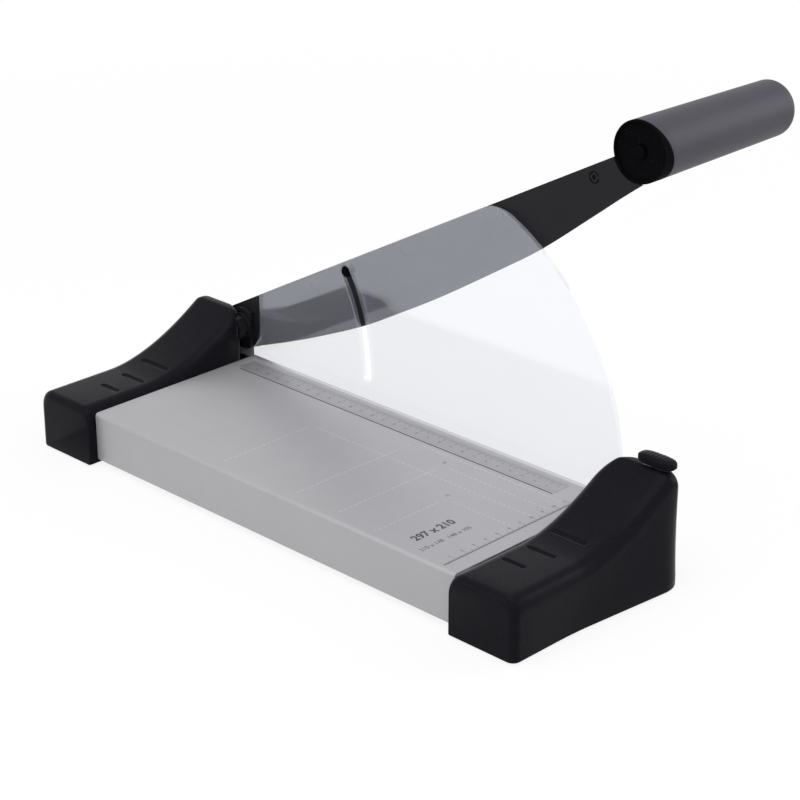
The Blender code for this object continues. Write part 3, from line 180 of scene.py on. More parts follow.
# Stage: lamps as (name, place, width and height, setting that holds the power)
LAMPS = (
    ("overhead_lamp", (-0.5, -0.1, 1.6), (1.4, 1.4), "key_power"),
    ("right_lamp", (1.3, -0.9, 0.7), (0.7, 1.0), "side_power"),
    ("left_lamp", (-1.7, 0.7, 0.6), (0.9, 0.9), "fill_power"))
FLOOR_HALF = 6.0
FLOOR_DEPTH = 0.01
GLOW_START = 0.35
GLOW_END = 1.3
SENSOR_WIDTH = 36.0
CLIP_START = 0.05
CLIP_END = 60.0
WHITE = (1.0, 1.0, 1.0, 1.0)


# Settings

def length(name, description, default):
    return bpy.props.FloatProperty(name=name, description=description, default=default,
                                   unit="LENGTH", precision=5)


def colour(name, description, default):
    return bpy.props.FloatVectorProperty(name=name, description=description, default=default,
                                         subtype="COLOR", size=3, min=0.0, max=1.0)


def number(name, description, default, **options):
    return bpy.props.FloatProperty(name=name, description=description, default=default, **options)


class CutterSizes(bpy.types.PropertyGroup):
    cap_low_height: length("Cap low height", "Height of a cap's level part", 0.0405)
    cap_rise_length: length("Cap rise length", "Length of the slope up to the plateau", 0.080)
    cap_plateau: length("Cap plateau", "Length of the plateau before the cutting edge", 0.010)
    cap_wall: length("Cap wall", "Wall of the moulded caps", 0.0026)
    cap_depth: length("Cap depth", "Reach of a cap's top out from the table", 0.0505)
    cap_flare: length("Cap flare", "How far a cap's foot stands out from its wall", 0.0085)
    cap_flare_length: length("Cap flare length", "Length over which the foot comes out", 0.085)
    cap_foot_corner: length("Cap foot corner", "Plan radius at the outside of the foot", 0.0215)
    cap_foot_height: length("Cap foot height", "Height of the upright rim of the foot", 0.006)
    cap_top_radius: length("Cap top radius", "Radius along the ridge of a cap", 0.0090)
    cap_front_radius: length("Cap front radius", "Radius round the front of a cap", 0.0050)
    cap_inner_corner: length("Cap inner corner", "Plan radius beside the table", 0.024)
    cap_outer_corner: length("Cap outer corner", "Plan radius at the outside", 0.007)
    cap_end_drop: length("Cap end drop", "Radius over the end of a cap", 0.0060)
    cap_foot_chamfer: length("Cap foot chamfer", "Chamfer round the bottom rim", 0.0006)
    pan_tongue: length("Pan tongue", "How far in the floor pan's tongue starts", 0.018)
    lock_stem: length("Lock stem", "Reach from the knob's end over the stem", 0.0068)
    groove_width: length("Groove width", "Width of the finger grooves", 0.0044)
    groove_depth: length("Groove depth", "Depth of the finger grooves", 0.0011)
    groove_pitch: length("Groove pitch", "Distance from groove to groove", 0.021)
    groove_start: length("Groove start", "Place of the first groove behind the table front", 0.026)
    groove_margin: length("Groove margin", "Distance of the grooves from the table", 0.010)
    guard_top_offset: length("Guard top offset", "Height of the top edge over the pivot", 0.0152)
    guard_arc_radius: length("Guard arc radius", "Radius of the fan's outer edge", 0.1613)
    guard_arc_height: length("Guard arc height", "Height of the fan's centre", 0.0503)
    guard_corner: length("Guard corner", "Radius of the fan's top corner", 0.014)
    guard_root_radius: length("Guard root radius", "Radius cut round the hub", 0.0215)
    guard_root_rise: length("Guard root rise", "Height of the root centre over the pivot", 0.0050)
    guard_tab_bottom: length("Guard tab bottom", "Underside of the tab in the near cap", 0.0410)
    # The band inside the rim is a painted highlight line along the sheet's edges.
    guard_band: length("Guard band", "Width of the light band inside the rim", 0.0011)
    guard_edge: length("Guard edge", "Polished bevel round the sheet", 0.0003)
    guard_hole: length("Guard hole", "Radius of the sheet's screw hole", 0.0021)
    slot_radius: length("Slot radius", "Radius of the guide slot about the pivot", 0.1245)
    slot_half_width: length("Slot half width", "Half of the slot's width", 0.0040)
    stud_offset: length("Stud offset", "Height of the guide stud in the arm", 0.0085)
    grip_root_radius: length("Grip root radius", "Radius of the grip at the boss", 0.01855)
    grip_tip_radius: length("Grip tip radius", "Radius of the grip at its free end", 0.0173)
    grip_end_radius: length("Grip end radius", "Radius round the free end", 0.0080)
    grip_bore_radius: length("Grip bore radius", "Radius of the bore in the grip", 0.0130)
    grip_wall: length("Grip wall", "Wall at the grip's free end", 0.0040)
    grip_lip: length("Grip lip", "Radius of the lip at the mouth", 0.0007)
    grip_collar: length("Grip collar", "Thickness of the collar round the boss", 0.0016)
    grip_slant: length("Grip slant", "How far the mouth draws back underneath", 0.0094)
    boss_rim: length("Boss rim", "Width of the rim round the boss", 0.0016)
    boss_lip: length("Boss lip", "Depth of the boss that shows at the top", 0.0016)
    boss_dish: length("Boss dish", "Depth of the dished face of the boss", 0.0020)
    boss_edge: length("Boss edge", "Radius round the front of the boss", 0.0007)
    foot_edge: length("Foot edge", "Radius round a rubber foot", 0.0006)
    foot_groove: length("Foot groove", "Depth of the ring groove in a foot", 0.0003)
    ink_height: length("Ink height", "Thickness of the printed marks", 0.00003)
    fine_line: length("Fine line", "Width of a fine printed line", 0.00030)
    bold_line: length("Bold line", "Width of the bold printed line", 0.0011)


class CutterColours(bpy.types.PropertyGroup):
    table: colour("Table", "Silver lacquer of the table", (0.385, 0.380, 0.398))
    strip: colour("Strip", "Satin strip with the scale", (0.335, 0.332, 0.350))
    zinc: colour("Zinc", "Plated frame parts", (0.42, 0.42, 0.43))
    steel: colour("Steel", "Ground and bright steel", (0.62, 0.62, 0.64))
    caps: colour("Caps", "Moulded end caps", (0.0074, 0.0069, 0.0098))
    arm: colour("Arm", "Coated arm and blade", (0.0115, 0.0112, 0.0140))
    grip: colour("Grip", "Grey grip", (0.058, 0.056, 0.070))
    core: colour("Core", "Black boss and covers", (0.0022, 0.0022, 0.0030))
    guard: colour("Guard", "Clear guard sheet", (0.87, 0.90, 1.0))
    rubber: colour("Rubber", "Feet and stop pad", (0.012, 0.012, 0.012))
    bronze: colour("Bronze", "Pivot bush", (0.45, 0.27, 0.12))
    nylon: colour("Nylon", "Guide roller", (0.030, 0.030, 0.035))
    ink: colour("Ink", "Printed scales", (0.045, 0.045, 0.050))
    pale_ink: colour("Pale ink", "Printed format lines", (0.50, 0.49, 0.51))
    floor: colour("Floor", "Pale floor", (0.93, 0.93, 0.93))


class StageSettings(bpy.types.PropertyGroup):
    camera_place: bpy.props.FloatVectorProperty(
        name="Camera place", description="Where the camera stands",
        default=(-0.972543, -0.939317, 0.641198), subtype="TRANSLATION", unit="LENGTH", size=3)
    camera_azimuth: number("Camera azimuth", "Turn of the camera about the vertical",
                           math.radians(-45.62), subtype="ANGLE")
    camera_elevation: number("Camera elevation", "Height of the camera above the horizon",
                             math.radians(23.48), subtype="ANGLE")
    camera_lens: number("Camera lens", "Focal length in millimetres", 103.773)
    ambient: number("Ambient", "Strength of the soft light from all round", 0.62)
    key_power: number("Key power", "Power of the large overhead lamp in watts", 13.0)
    side_power: number("Side power", "Power of the lamp at the right in watts", 9.0)
    fill_power: number("Fill power", "Power of the lamp at the left in watts", 4.0)
    floor_glow: number("Floor glow", "Share of plain white in the floor", 0.86,
                       min=0.0, max=1.0, subtype="FACTOR")


def sizes():
    return bpy.context.scene.cutter_sizes


def colours():
    return bpy.context.scene.cutter_colours


# Shader building

class Wire:
    """A shader socket that can be used in sums."""

    def __init__(self, finish, socket):
        self.finish = finish
        self.socket = socket

    def combine(self, operation, first, second):
        return self.finish.node("ShaderNodeMath", {"operation": operation},
                                {0: first, 1: second})

    def __add__(self, other):
        return self.combine("ADD", self, other)

    __radd__ = __add__

    def __sub__(self, other):
        return self.combine("SUBTRACT", self, other)

    def __rsub__(self, other):
        return self.combine("SUBTRACT", other, self)

    def __mul__(self, other):
        return self.combine("MULTIPLY", self, other)

    __rmul__ = __mul__


class Finish:
    """The nodes of one material or world, added by its methods."""

    def __init__(self, owner):
        self.owner = owner
        owner.use_nodes = True
        self.tree = owner.node_tree
        self.tree.nodes.clear()

    def node(self, kind, settings=None, sockets=None, outlet=0):
        made = self.tree.nodes.new(kind)
        for name, value in (settings or {}).items():
            setattr(made, name, value)
        for name, value in (sockets or {}).items():
            if isinstance(value, Wire):
                self.tree.links.new(value.socket, made.inputs[name])
            else:
                made.inputs[name].default_value = value
        return Wire(self, made.outputs[outlet] if made.outputs else None)

    def place(self):
        return self.node("ShaderNodeTexCoord", outlet="Object")

    def stretch(self, place, factors):
        return self.node("ShaderNodeVectorMath", {"operation": "MULTIPLY"}, {0: place, 1: factors})

    def noise(self, place, scale, detail=2.0, roughness=0.5):
        return self.node("ShaderNodeTexNoise", None, {
            "Vector": place, "Scale": scale, "Detail": detail, "Roughness": roughness})

    def step(self, value, low, high):
        return self.node("ShaderNodeMapRange", {"interpolation_type": "SMOOTHSTEP"},
                         {"Value": value, "From Min": low, "From Max": high})

    def blend(self, share, first, second):
        return self.node("ShaderNodeMix", {"data_type": "RGBA"},
                         {0: share, 6: first, 7: second}, outlet=2)

    def bump(self, height, strength, distance, normal=None):
        sockets = {"Height": height, "Strength": strength, "Distance": distance}
        if normal:
            sockets["Normal"] = normal
        return self.node("ShaderNodeBump", None, sockets)

    def rounded(self, radius):
        """Normals that turn softly over the edges."""
        return self.node("ShaderNodeBevel", {"samples": 4}, {"Radius": radius})

    def edges(self, rounded, low, high):
        """A mask of the edges, from how far the rounded normals turn away."""
        flat = self.node("ShaderNodeNewGeometry", outlet="Normal")
        agree = self.node("ShaderNodeVectorMath", {"operation": "DOT_PRODUCT"},
                          {0: rounded, 1: flat}, outlet="Value")
        return self.step(1 - agree, low, high)

    def principled(self, sockets):
        shader = self.node("ShaderNodeBsdfPrincipled", None, sockets)
        self.node("ShaderNodeOutputMaterial", None, {"Surface": shader})
        return self.owner


def paint(shade, level=1.0):
    return (shade[0] * level, shade[1] * level, shade[2] * level, 1.0)


def new_finish(name):
    return Finish(bpy.data.materials.new(name))


def lacquered_metal(name, shade, roughness, metallic, flake_scale):
    """Silver lacquer with fine flake, handling marks, and edges lightened partly as worn lacquer
    and partly as a painted edge highlight.
    """
    made = new_finish(name)
    place = made.place()
    flake = made.noise(place, flake_scale, 1.0)
    cloud = made.noise(place, 14.0, 3.0, 0.6)
    smear = made.noise(made.stretch(place, (60.0, 9.0, 60.0)), 1.0, 4.0, 0.65)
    scratch = made.step(made.noise(made.stretch(place, (900.0, 26.0, 900.0)), 1.0, 1.0), 0.70, 0.78)
    rounded = made.rounded(0.0005)
    wear_and_highlight = made.edges(rounded, 0.02, 0.25)
    body = made.blend(flake * 0.35 + cloud * 0.65, paint(shade, 0.90), paint(shade, 1.10))
    body = made.blend(scratch * 0.10, body, paint(shade, 1.5))
    # Edges lightened towards a paler silver: partly wear, partly a painted highlight line along the
    # edges.
    body = made.blend(wear_and_highlight * 0.30, body, paint(shade, 1.45))
    rough = roughness + (smear - 0.5) * 0.16 + (flake - 0.5) * 0.10 - wear_and_highlight * 0.06
    relief = flake * 0.5 + made.noise(place, 420.0, 2.0) * 0.5 - scratch * 0.3
    return made.principled({
        "Base Color": body, "Roughness": rough, "Metallic": metallic,
        "Normal": made.bump(relief, 0.16, 0.00008, rounded)})


def bare_metal(name, shade, roughness, lines, spots):
    """Ground or plated metal: fine lines along one way, dull spots, and edges lightened partly as
    wear and partly as a painted edge highlight.
    """
    made = new_finish(name)
    place = made.place()
    grain = made.noise(made.stretch(place, lines), 1.0, 3.0, 0.6)
    cloud = made.noise(place, 38.0, 3.0, 0.6)
    dull = made.step(made.noise(place, 210.0, 3.0, 0.65), 0.58, 0.72) * spots
    rounded = made.rounded(0.0003)
    wear_and_highlight = made.edges(rounded, 0.02, 0.3)
    body = made.blend(grain * 0.5 + cloud * 0.5, paint(shade, 0.88), paint(shade, 1.10))
    body = made.blend(dull, body, paint(shade, 0.55))
    # Edges lightened towards a paler metal: partly wear, partly a painted highlight line along the
    # edges.
    body = made.blend(wear_and_highlight * 0.4, body, paint(shade, 1.35))
    rough = roughness + (grain - 0.5) * 0.14 + dull * 0.25
    return made.principled({
        "Base Color": body, "Roughness": rough, "Metallic": 1.0,
        "Normal": made.bump(grain, 0.12, 0.00005, rounded)})


def moulded_plastic(name, shade, roughness, grain_form, edge_light, specular, sheen=0.0):
    """Moulded plastic: grain of a scale and a strength, faint flow clouds, and edges lightened by
    edge_light, partly rubbed wear and partly a painted rim highlight.
    """
    made = new_finish(name)
    place = made.place()
    grain_scale, grain_strength = grain_form
    grain = made.noise(place, grain_scale, 2.0, 0.55)
    cloud = made.noise(place, 22.0, 3.0, 0.6)
    dust = made.step(made.noise(place, 950.0, 2.0), 0.66, 0.74)
    rounded = made.rounded(0.0006)
    wear_and_highlight = made.edges(rounded, 0.02, 0.3)
    body = made.blend(cloud, paint(shade, 0.82), paint(shade, 1.22))
    body = made.blend(dust * 0.05, body, (0.30, 0.30, 0.31, 1.0))
    # Edges lightened up to 3.2 times the body colour: partly rubbed wear, partly a painted rim
    # highlight.
    body = made.blend(wear_and_highlight * edge_light, body, paint(shade, 3.2))
    rough = roughness + (grain - 0.5) * 0.14 + (cloud - 0.5) * 0.12 - wear_and_highlight * 0.08
    return made.principled({
        "Base Color": body, "Roughness": rough, "Specular IOR Level": specular,
        "Sheen Weight": sheen, "Sheen Roughness": 0.28,
        "Normal": made.bump(grain, grain_strength, 0.00012, rounded)})


def black_coat(made, shade, roughness):
    """Skin, rub lines, colour and roughness of a satin black coating over steel."""
    place = made.place()
    skin = made.noise(place, 1500.0, 2.0)
    cloud = made.noise(place, 26.0, 3.0, 0.6)
    rub = made.noise(made.stretch(place, (700.0, 18.0, 18.0)), 1.0, 2.0)
    line = made.step(rub, 0.66, 0.76)
    body = made.blend(cloud, paint(shade, 0.85), paint(shade, 1.25))
    body = made.blend(line * 0.06, body, (0.20, 0.20, 0.22, 1.0))
    return skin, line, body, roughness + (skin - 0.5) * 0.12 + (cloud - 0.5) * 0.10


def coated_black(name, shade, roughness):
    """Satin black coating with rub lines along the arm, and edges greyed partly as worn coating and
    partly as a painted edge highlight.
    """
    made = new_finish(name)
    skin, line, body, rough = black_coat(made, shade, roughness)
    rounded = made.rounded(0.0004)
    wear_and_highlight = made.edges(rounded, 0.03, 0.3)
    # Edges greyed: partly worn coating, partly a painted highlight line along the edges.
    body = made.blend(wear_and_highlight * 0.25, body, (0.12, 0.12, 0.13, 1.0))
    return made.principled({
        "Base Color": body, "Roughness": rough - line * 0.05, "Specular IOR Level": 0.12,
        "Normal": made.bump(skin, 0.10, 0.00008, rounded)})


def ground_blade(name, shade, steel, roughness):
    """Satin black coating on both sides of the blade, and bright steel on its ground edge."""
    made = new_finish(name)
    skin, _, body, rough = black_coat(made, shade, roughness)
    flat = made.node("ShaderNodeNewGeometry", outlet="Normal")
    facing = made.node("ShaderNodeSeparateXYZ", None, {"Vector": flat})
    ground = made.step(facing, 0.55, 0.65) * (1 - made.step(facing, 0.94, 0.98))
    stroke = made.noise(made.stretch(made.place(), (40.0, 2200.0, 40.0)), 1.0, 2.0)
    bare = made.blend(stroke, paint(steel, 0.75), paint(steel, 1.15))
    relief = skin * (1 - ground) + stroke * ground
    return made.principled({
        "Base Color": made.blend(ground, body, bare), "Roughness": rough - ground * 0.14,
        "Metallic": ground, "Specular IOR Level": 0.12,
        "Normal": made.bump(relief, 0.10, 0.00008)})


def rubber_like(name, shade):
    made = new_finish(name)
    place = made.place()
    skin = made.noise(place, 1300.0, 3.0, 0.65)
    dust = made.step(made.noise(place, 160.0, 3.0, 0.65), 0.52, 0.75)
    body = made.blend(dust * 0.22, paint(shade), (0.09, 0.09, 0.09, 1.0))
    return made.principled({
        "Base Color": body, "Roughness": 0.78 + (skin - 0.5) * 0.2,
        "Specular IOR Level": 0.3, "Normal": made.bump(skin, 0.3, 0.00012)})


def clear_sheet(name, shade, alpha, haze):
    """Clear polished sheet with faint smears and hairline scratches."""
    made = new_finish(name)
    place = made.place()
    smear = made.noise(place, 17.0, 4.0, 0.62)
    speck = made.noise(made.stretch(place, (60.0, 38.0, 1300.0)), 1.0, 1.0)
    hair = made.step(speck, 0.76, 0.84)
    body = made.blend(smear * 0.5, paint(shade), paint(shade, 0.95))
    rough = 0.03 + smear * 0.05 + hair * 0.12
    return made.principled({
        "Base Color": body, "Roughness": rough, "Metallic": haze,
        "Alpha": alpha + (smear - 0.5) * 0.02 + hair * 0.01,
        "Normal": made.bump(smear, 0.03, 0.0001)})


def printed_ink(name, shade):
    made = new_finish(name)
    place = made.place()
    speck = made.noise(place, 2600.0, 2.0)
    body = made.blend(speck, paint(shade, 0.75), paint(shade, 1.3))
    return made.principled({
        "Base Color": body, "Roughness": 0.45 + speck * 0.15,
        "Normal": made.bump(speck, 0.08, 0.00002)})


LOOKS = {}
OWN_LOOKS = {"grip_rod": "core_plastic", "guide_stud": "core_plastic",
             "guide_roller": "core_plastic", "blade": "blade"}


def make_looks():
    """Makes one finish for each material slot, and those of the print and the edges."""
    shade = colours()
    LOOKS.update(
        table_metal=lacquered_metal("silver_lacquer", shade.table, roughness=0.40,
                                    metallic=0.35, flake_scale=2400.0),
        strip_metal=lacquered_metal("satin_strip", shade.strip, roughness=0.36,
                                    metallic=0.45, flake_scale=1800.0),
        frame_steel=bare_metal("zinc_plate", shade.zinc, roughness=0.42,
                               lines=(90.0, 90.0, 90.0), spots=0.5),
        bright_steel=bare_metal("ground_steel", shade.steel, roughness=0.30,
                                lines=(1400.0, 14.0, 1400.0), spots=0.10),
        cap_plastic=moulded_plastic("cap_moulding", shade.caps, 0.30, (1700.0, 0.12),
                                    edge_light=0.45, specular=0.035, sheen=0.28),
        grip_plastic=moulded_plastic("grip_moulding", shade.grip, 0.50, (2200.0, 0.12),
                                     edge_light=0.15, specular=0.16),
        core_plastic=moulded_plastic("core_moulding", shade.core, 0.70, (1900.0, 0.18),
                                     edge_light=0.30, specular=0.02),
        nylon=moulded_plastic("nylon_roller", shade.nylon, 0.45, (1500.0, 0.12),
                              edge_light=0.2, specular=0.5),
        arm_black=coated_black("arm_coating", shade.arm, roughness=0.42),
        blade=ground_blade("blade_coating", shade.arm, shade.steel, roughness=0.42),
        rubber=rubber_like("soft_rubber", shade.rubber),
        bronze=bare_metal("bush_bronze", shade.bronze, roughness=0.38,
                          lines=(200.0, 200.0, 200.0), spots=0.4),
        guard_clear=clear_sheet("guard_sheet", shade.guard, alpha=0.180, haze=0.60),
        # guard_edge: a more opaque pale finish that paints the bright highlight line on the sheet's
        # edges.
        guard_edge=clear_sheet("guard_polished_edge", shade.guard, alpha=0.55, haze=0.10),
        ink=printed_ink("scale_ink", shade.ink),
        pale_ink=printed_ink("format_ink", shade.pale_ink))


# Mesh building

def new_object(name, data):
    made = bpy.data.objects.new(name, data)
    bpy.context.scene.collection.objects.link(made)
    return made


def object_of(name, builder):
    bmesh.ops.remove_doubles(builder, verts=builder.verts, dist=WELD_DISTANCE)
    bmesh.ops.recalc_face_normals(builder, faces=builder.faces)
    mesh = bpy.data.meshes.new(name)
    builder.to_mesh(mesh)
    builder.free()
    return new_object(name, mesh)


def finished(piece, body, slot, replaced=(), look=None):
    """Shades, paints and seats a piece on its body."""
    piece.data.shade_smooth()
    piece.data.set_sharp_from_angle(angle=SMOOTH_ANGLE)
    if not piece.data.materials:
        piece.data.materials.append(LOOKS[look or slot])
    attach(piece, body)
    if replaced:
        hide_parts(*replaced)


def settle(made):
    """Applies the modifiers of a piece to its mesh."""
    graph = bpy.context.evaluated_depsgraph_get()
    mesh = bpy.data.meshes.new_from_object(made.evaluated_get(graph))
    made.modifiers.clear()
    made.data = mesh


def carve(made, cutters):
    """Takes the cutters out of a piece, and removes them."""
    for cutter in cutters:
        step = made.modifiers.new(cutter.name, "BOOLEAN")
        step.operation = "DIFFERENCE"
        step.solver = "EXACT"
        step.object = cutter
    settle(made)
    for cutter in cutters:
        bpy.data.objects.remove(cutter, do_unlink=True)


def soften(made, width, segments):
    step = made.modifiers.new("edge", "BEVEL")
    step.width = width
    step.segments = segments
    step.limit_method = "ANGLE"
    step.angle_limit = SMOOTH_ANGLE
    settle(made)


def loft(builder, rings, closed=False):
    """Joins rings of points into a skin, with flat ends or as a closed loop."""
    loops = [[builder.verts.new(point) for point in ring] for ring in rings]
    pairs = list(zip(loops, loops[1:]))
    if closed:
        pairs.append((loops[-1], loops[0]))
    for first, second in pairs:
        for index, vertex in enumerate(first):
            following = (index + 1) % len(first)
            builder.faces.new((vertex, first[following], second[following], second[index]))
    if not closed:
        builder.faces.new(loops[0])
        builder.faces.new(loops[-1])


def middle_of(node):
    """The middle of a node, brought to x = 0: a centre to turn round X."""
    low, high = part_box(node)
    return Vector((0, (low.y + high.y) / 2, (low.z + high.z) / 2))


def lay(axis, along, first, second):
    """A point from its place along an axis and the two that follow."""
    if axis == "X":
        return Vector((along, first, second))
    if axis == "Y":
        return Vector((first, along, second))
    return Vector((first, second, along))


def prism(name, axis, start, end, outline):
    builder = bmesh.new()
    loft(builder, [[lay(axis, place, *point) for point in outline] for place in (start, end)])
    return object_of(name, builder)


def block(name, low, high):
    outline = [(low[0], low[1]), (high[0], low[1]), (high[0], high[1]), (low[0], high[1])]
    return prism(name, "Z", low[2], high[2], outline)


def turned(name, axis, profile, centre, faces=96, closed=False):
    """Turns (radius, place) pairs round an axis through a centre."""
    builder = bmesh.new()
    turns = [math.tau * index / faces for index in range(faces)]
    rings = [[lay(axis, place, radius * math.cos(turn), radius * math.sin(turn)) + centre
              for turn in turns] for radius, place in profile]
    loft(builder, rings, closed)
    return object_of(name, builder)


def bar(name, radius, start, end, centre, faces=HOLE_FACES):
    """A round bar along X through a centre."""
    return turned(name, "X", [(radius, start), (radius, end)], centre, faces)


def arc(centre, radius, start, end, steps):
    turns = [start + (end - start) * index / steps for index in range(steps + 1)]
    return [(centre[0] + radius * math.cos(turn), centre[1] + radius * math.sin(turn))
            for turn in turns]


def rim(radius, face, edge, steps):
    """(radius, place) pairs round the edge between the face and the side of a disc."""
    return [(radius - edge + reach, face + edge - place)
            for reach, place in arc((0, 0), edge, QUARTER, 0, steps)]


# End caps

class CapForm:
    """The moulded form of one end cap, from its box and its radii."""

    def __init__(self, name, wall):
        size = sizes()
        low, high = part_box(name)
        self.side = SIDES[name]
        self.front = low.x + wall
        self.end = high.x - wall
        inner, outer = sorted((abs(low.y), abs(high.y)))
        self.inner = inner + wall
        self.outer = inner + size.cap_depth - wall
        self.reach = outer - wall
        self.floor = low.z
        self.wall = wall
        self.peak = high.z
        self.low_height = size.cap_low_height
        self.rise_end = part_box("counter_blade")[1].x - size.cap_plateau
        self.rise_start = self.rise_end - size.cap_rise_length
        self.top_radius = size.cap_top_radius - wall
        self.front_radius = size.cap_front_radius - wall
        self.inner_corner = size.cap_inner_corner - wall
        self.outer_corner = size.cap_outer_corner - wall
        self.foot_corner = size.cap_foot_corner - wall
        self.foot_height = size.cap_foot_height
        self.flare = size.cap_flare
        self.flare_length = size.cap_flare_length
        self.end_drop = size.cap_end_drop

    def ridge(self, x):
        """Height of the ridge: level, then a hollow rise to the plateau."""
        share = (x - self.rise_start) / (self.rise_end - self.rise_start)
        share = min(max(share, 0.0), 1.0)
        return self.low_height + (self.peak - self.low_height) * share ** CAP_RISE_POWER

    def foot(self, x, outer):
        """How far out the foot stands, where the wall above would stand square at outer."""
        share = (x - self.rise_end + self.flare_length) / self.flare_length
        share = (share + math.sqrt(share ** 2 + CAP_FLARE_EASE)) / 2
        out = outer + self.flare * min(share, 1.0)
        return min(out - self.draw_in(x, self.end, self.foot_corner), self.reach)

    @staticmethod
    def draw_in(x, end, radius):
        """How far a corner of this radius draws a side in, at a place near its end."""
        reach = min(max(x - (end - radius), 0.0), radius)
        return radius - math.sqrt(max(radius ** 2 - reach ** 2, 0.0))

    def stations(self):
        """Places along the cap where its section is drawn."""
        places = [self.front + self.front_radius * (1 - math.cos(QUARTER * step / FRONT_STEPS))
                  for step in range(FRONT_STEPS + 1)]
        corner = self.end - self.inner_corner
        level = self.rise_start - places[-1]
        rise = corner - self.rise_start
        places += [places[-1] + level * step / LEVEL_STEPS for step in range(1, LEVEL_STEPS)]
        places += [self.rise_start + rise * step / RISE_STEPS for step in range(RISE_STEPS)]
        places += [self.end - self.inner_corner * (1 - math.sin(QUARTER * step / CORNER_STEPS))
                   for step in range(CORNER_STEPS + 1)]
        return places

    def section(self, x, bottom, chamfer):
        """One section across the cap, from its inner side over the top to its outer side."""
        front = self.draw_in(2 * self.front + self.front_radius - x,
                             self.front + self.front_radius, self.front_radius)
        inner = self.inner + front * CAP_EDGE_SHARE
        inner += self.draw_in(x, self.end, self.inner_corner)
        outer = self.outer - front
        foot = self.foot(x, outer)
        outer -= self.draw_in(x, self.end, self.outer_corner)
        top = self.ridge(x) - self.wall - front - self.draw_in(x, self.end, self.end_drop)
        radius = min(self.top_radius, (outer - inner) * CAP_TOP_SHARE)
        points = [(inner + chamfer, bottom), (inner, bottom + chamfer)]
        points += arc((inner + radius, top - radius), radius, math.pi, QUARTER, RIDGE_STEPS)
        points += arc((outer - radius, top - radius), radius, QUARTER, 0, RIDGE_STEPS)
        upper = Vector((outer, top - radius))
        lower = Vector((foot, self.floor + self.foot_height))
        points += [tuple(upper.lerp(lower, step / WALL_STEPS))
                   for step in range(1, WALL_STEPS + 1)]
        points += [(foot, bottom + chamfer), (foot - chamfer, bottom)]
        return [Vector((x, self.side * out, height)) for out, height in points]

    def solid(self, name, bottom, chamfer):
        builder = bmesh.new()
        loft(builder, [self.section(x, bottom, chamfer) for x in self.stations()])
        return object_of(name, builder)


def across(form, start, end):
    """Two distances out from the middle of the table, as places on a cap's side."""
    return sorted((form.side * start, form.side * end))


def groove_cutters(form, name):
    """Shallow scooped grooves across the slope of a cap, each longer than the last."""
    size = sizes()
    half = size.groove_width / 2
    radius = (half ** 2 + size.groove_depth ** 2) / (2 * size.groove_depth)
    inner = form.inner + size.groove_margin - SEAT_GAP
    dome = arc((0, 0), radius, 0, math.pi * 0.48, FRONT_STEPS)
    cutters = []
    for number, span in enumerate(GROOVE_SPANS):
        middle = TABLE_LOW.x + size.groove_start + size.groove_pitch * number + half
        height = form.ridge(middle) + radius - size.groove_depth
        ends = across(form, inner + half, inner + span - half)
        profile = [(reach, ends[0] - along) for reach, along in reversed(dome)]
        profile += [(reach, ends[1] + along) for reach, along in dome]
        cutters.append(turned("%s_groove_%d" % (name, number + 1), "Y", profile,
                              Vector((middle, 0, height)), HOLE_FACES))
    return cutters


def window_cutters(form, name):
    """Windows in a cap's inner wall for the front rail and the tongue of the floor pan."""
    rail_low, rail_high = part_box("front_rail")
    pan_low, pan_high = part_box("floor_pan")
    near, far = across(form, TABLE_HALF - OVERRUN, TABLE_HALF + sizes().cap_wall * 2)
    inset = sizes().pan_tongue - SEAT_GAP
    return [
        block(name + "_rail_window", (rail_low.x - SEAT_GAP, near, rail_low.z - SEAT_GAP),
              (rail_high.x + SEAT_GAP, far, rail_high.z + SEAT_GAP)),
        block(name + "_pan_window", (pan_low.x + inset, near, pan_low.z - SEAT_GAP),
              (pan_high.x - inset, far, pan_high.z + SEAT_GAP))]


def near_cutters(form):
    """Room in the near cap for the guard's tab, its plate and screw, and for the lock."""
    plate_low, plate_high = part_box("guard_bracket")
    screw_low, screw_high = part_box("guard_screw")
    bolt_low, bolt_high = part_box("lock_bolt")
    beyond = form.end + OVERRUN
    radius = (screw_high.y - screw_low.y) / 2 + GUARD_ROOM
    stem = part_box("lock_knob")[1].x - sizes().lock_stem
    return [
        block("guard_tab_room", (GUARD_LOW.x - GUARD_ROOM, GUARD_LOW.y - GUARD_ROOM, TABLE_HIGH.z),
              (beyond, -TABLE_HALF + OVERRUN, form.peak + OVERRUN)),
        bar("guard_screw_room", radius, screw_low.x - OVERRUN, GUARD_LOW.x,
            middle_of("guard_screw")),
        block("guard_plate_room", (plate_low.x - SEAT_GAP, plate_low.y - SEAT_GAP, 0),
              (beyond, -TABLE_HALF + OVERRUN, plate_high.z + SEAT_GAP)),
        block("lock_room", (stem - SEAT_GAP, bolt_low.y - SEAT_GAP, bolt_low.z - SEAT_GAP),
              (beyond, bolt_high.y + SEAT_GAP, form.peak + OVERRUN))]


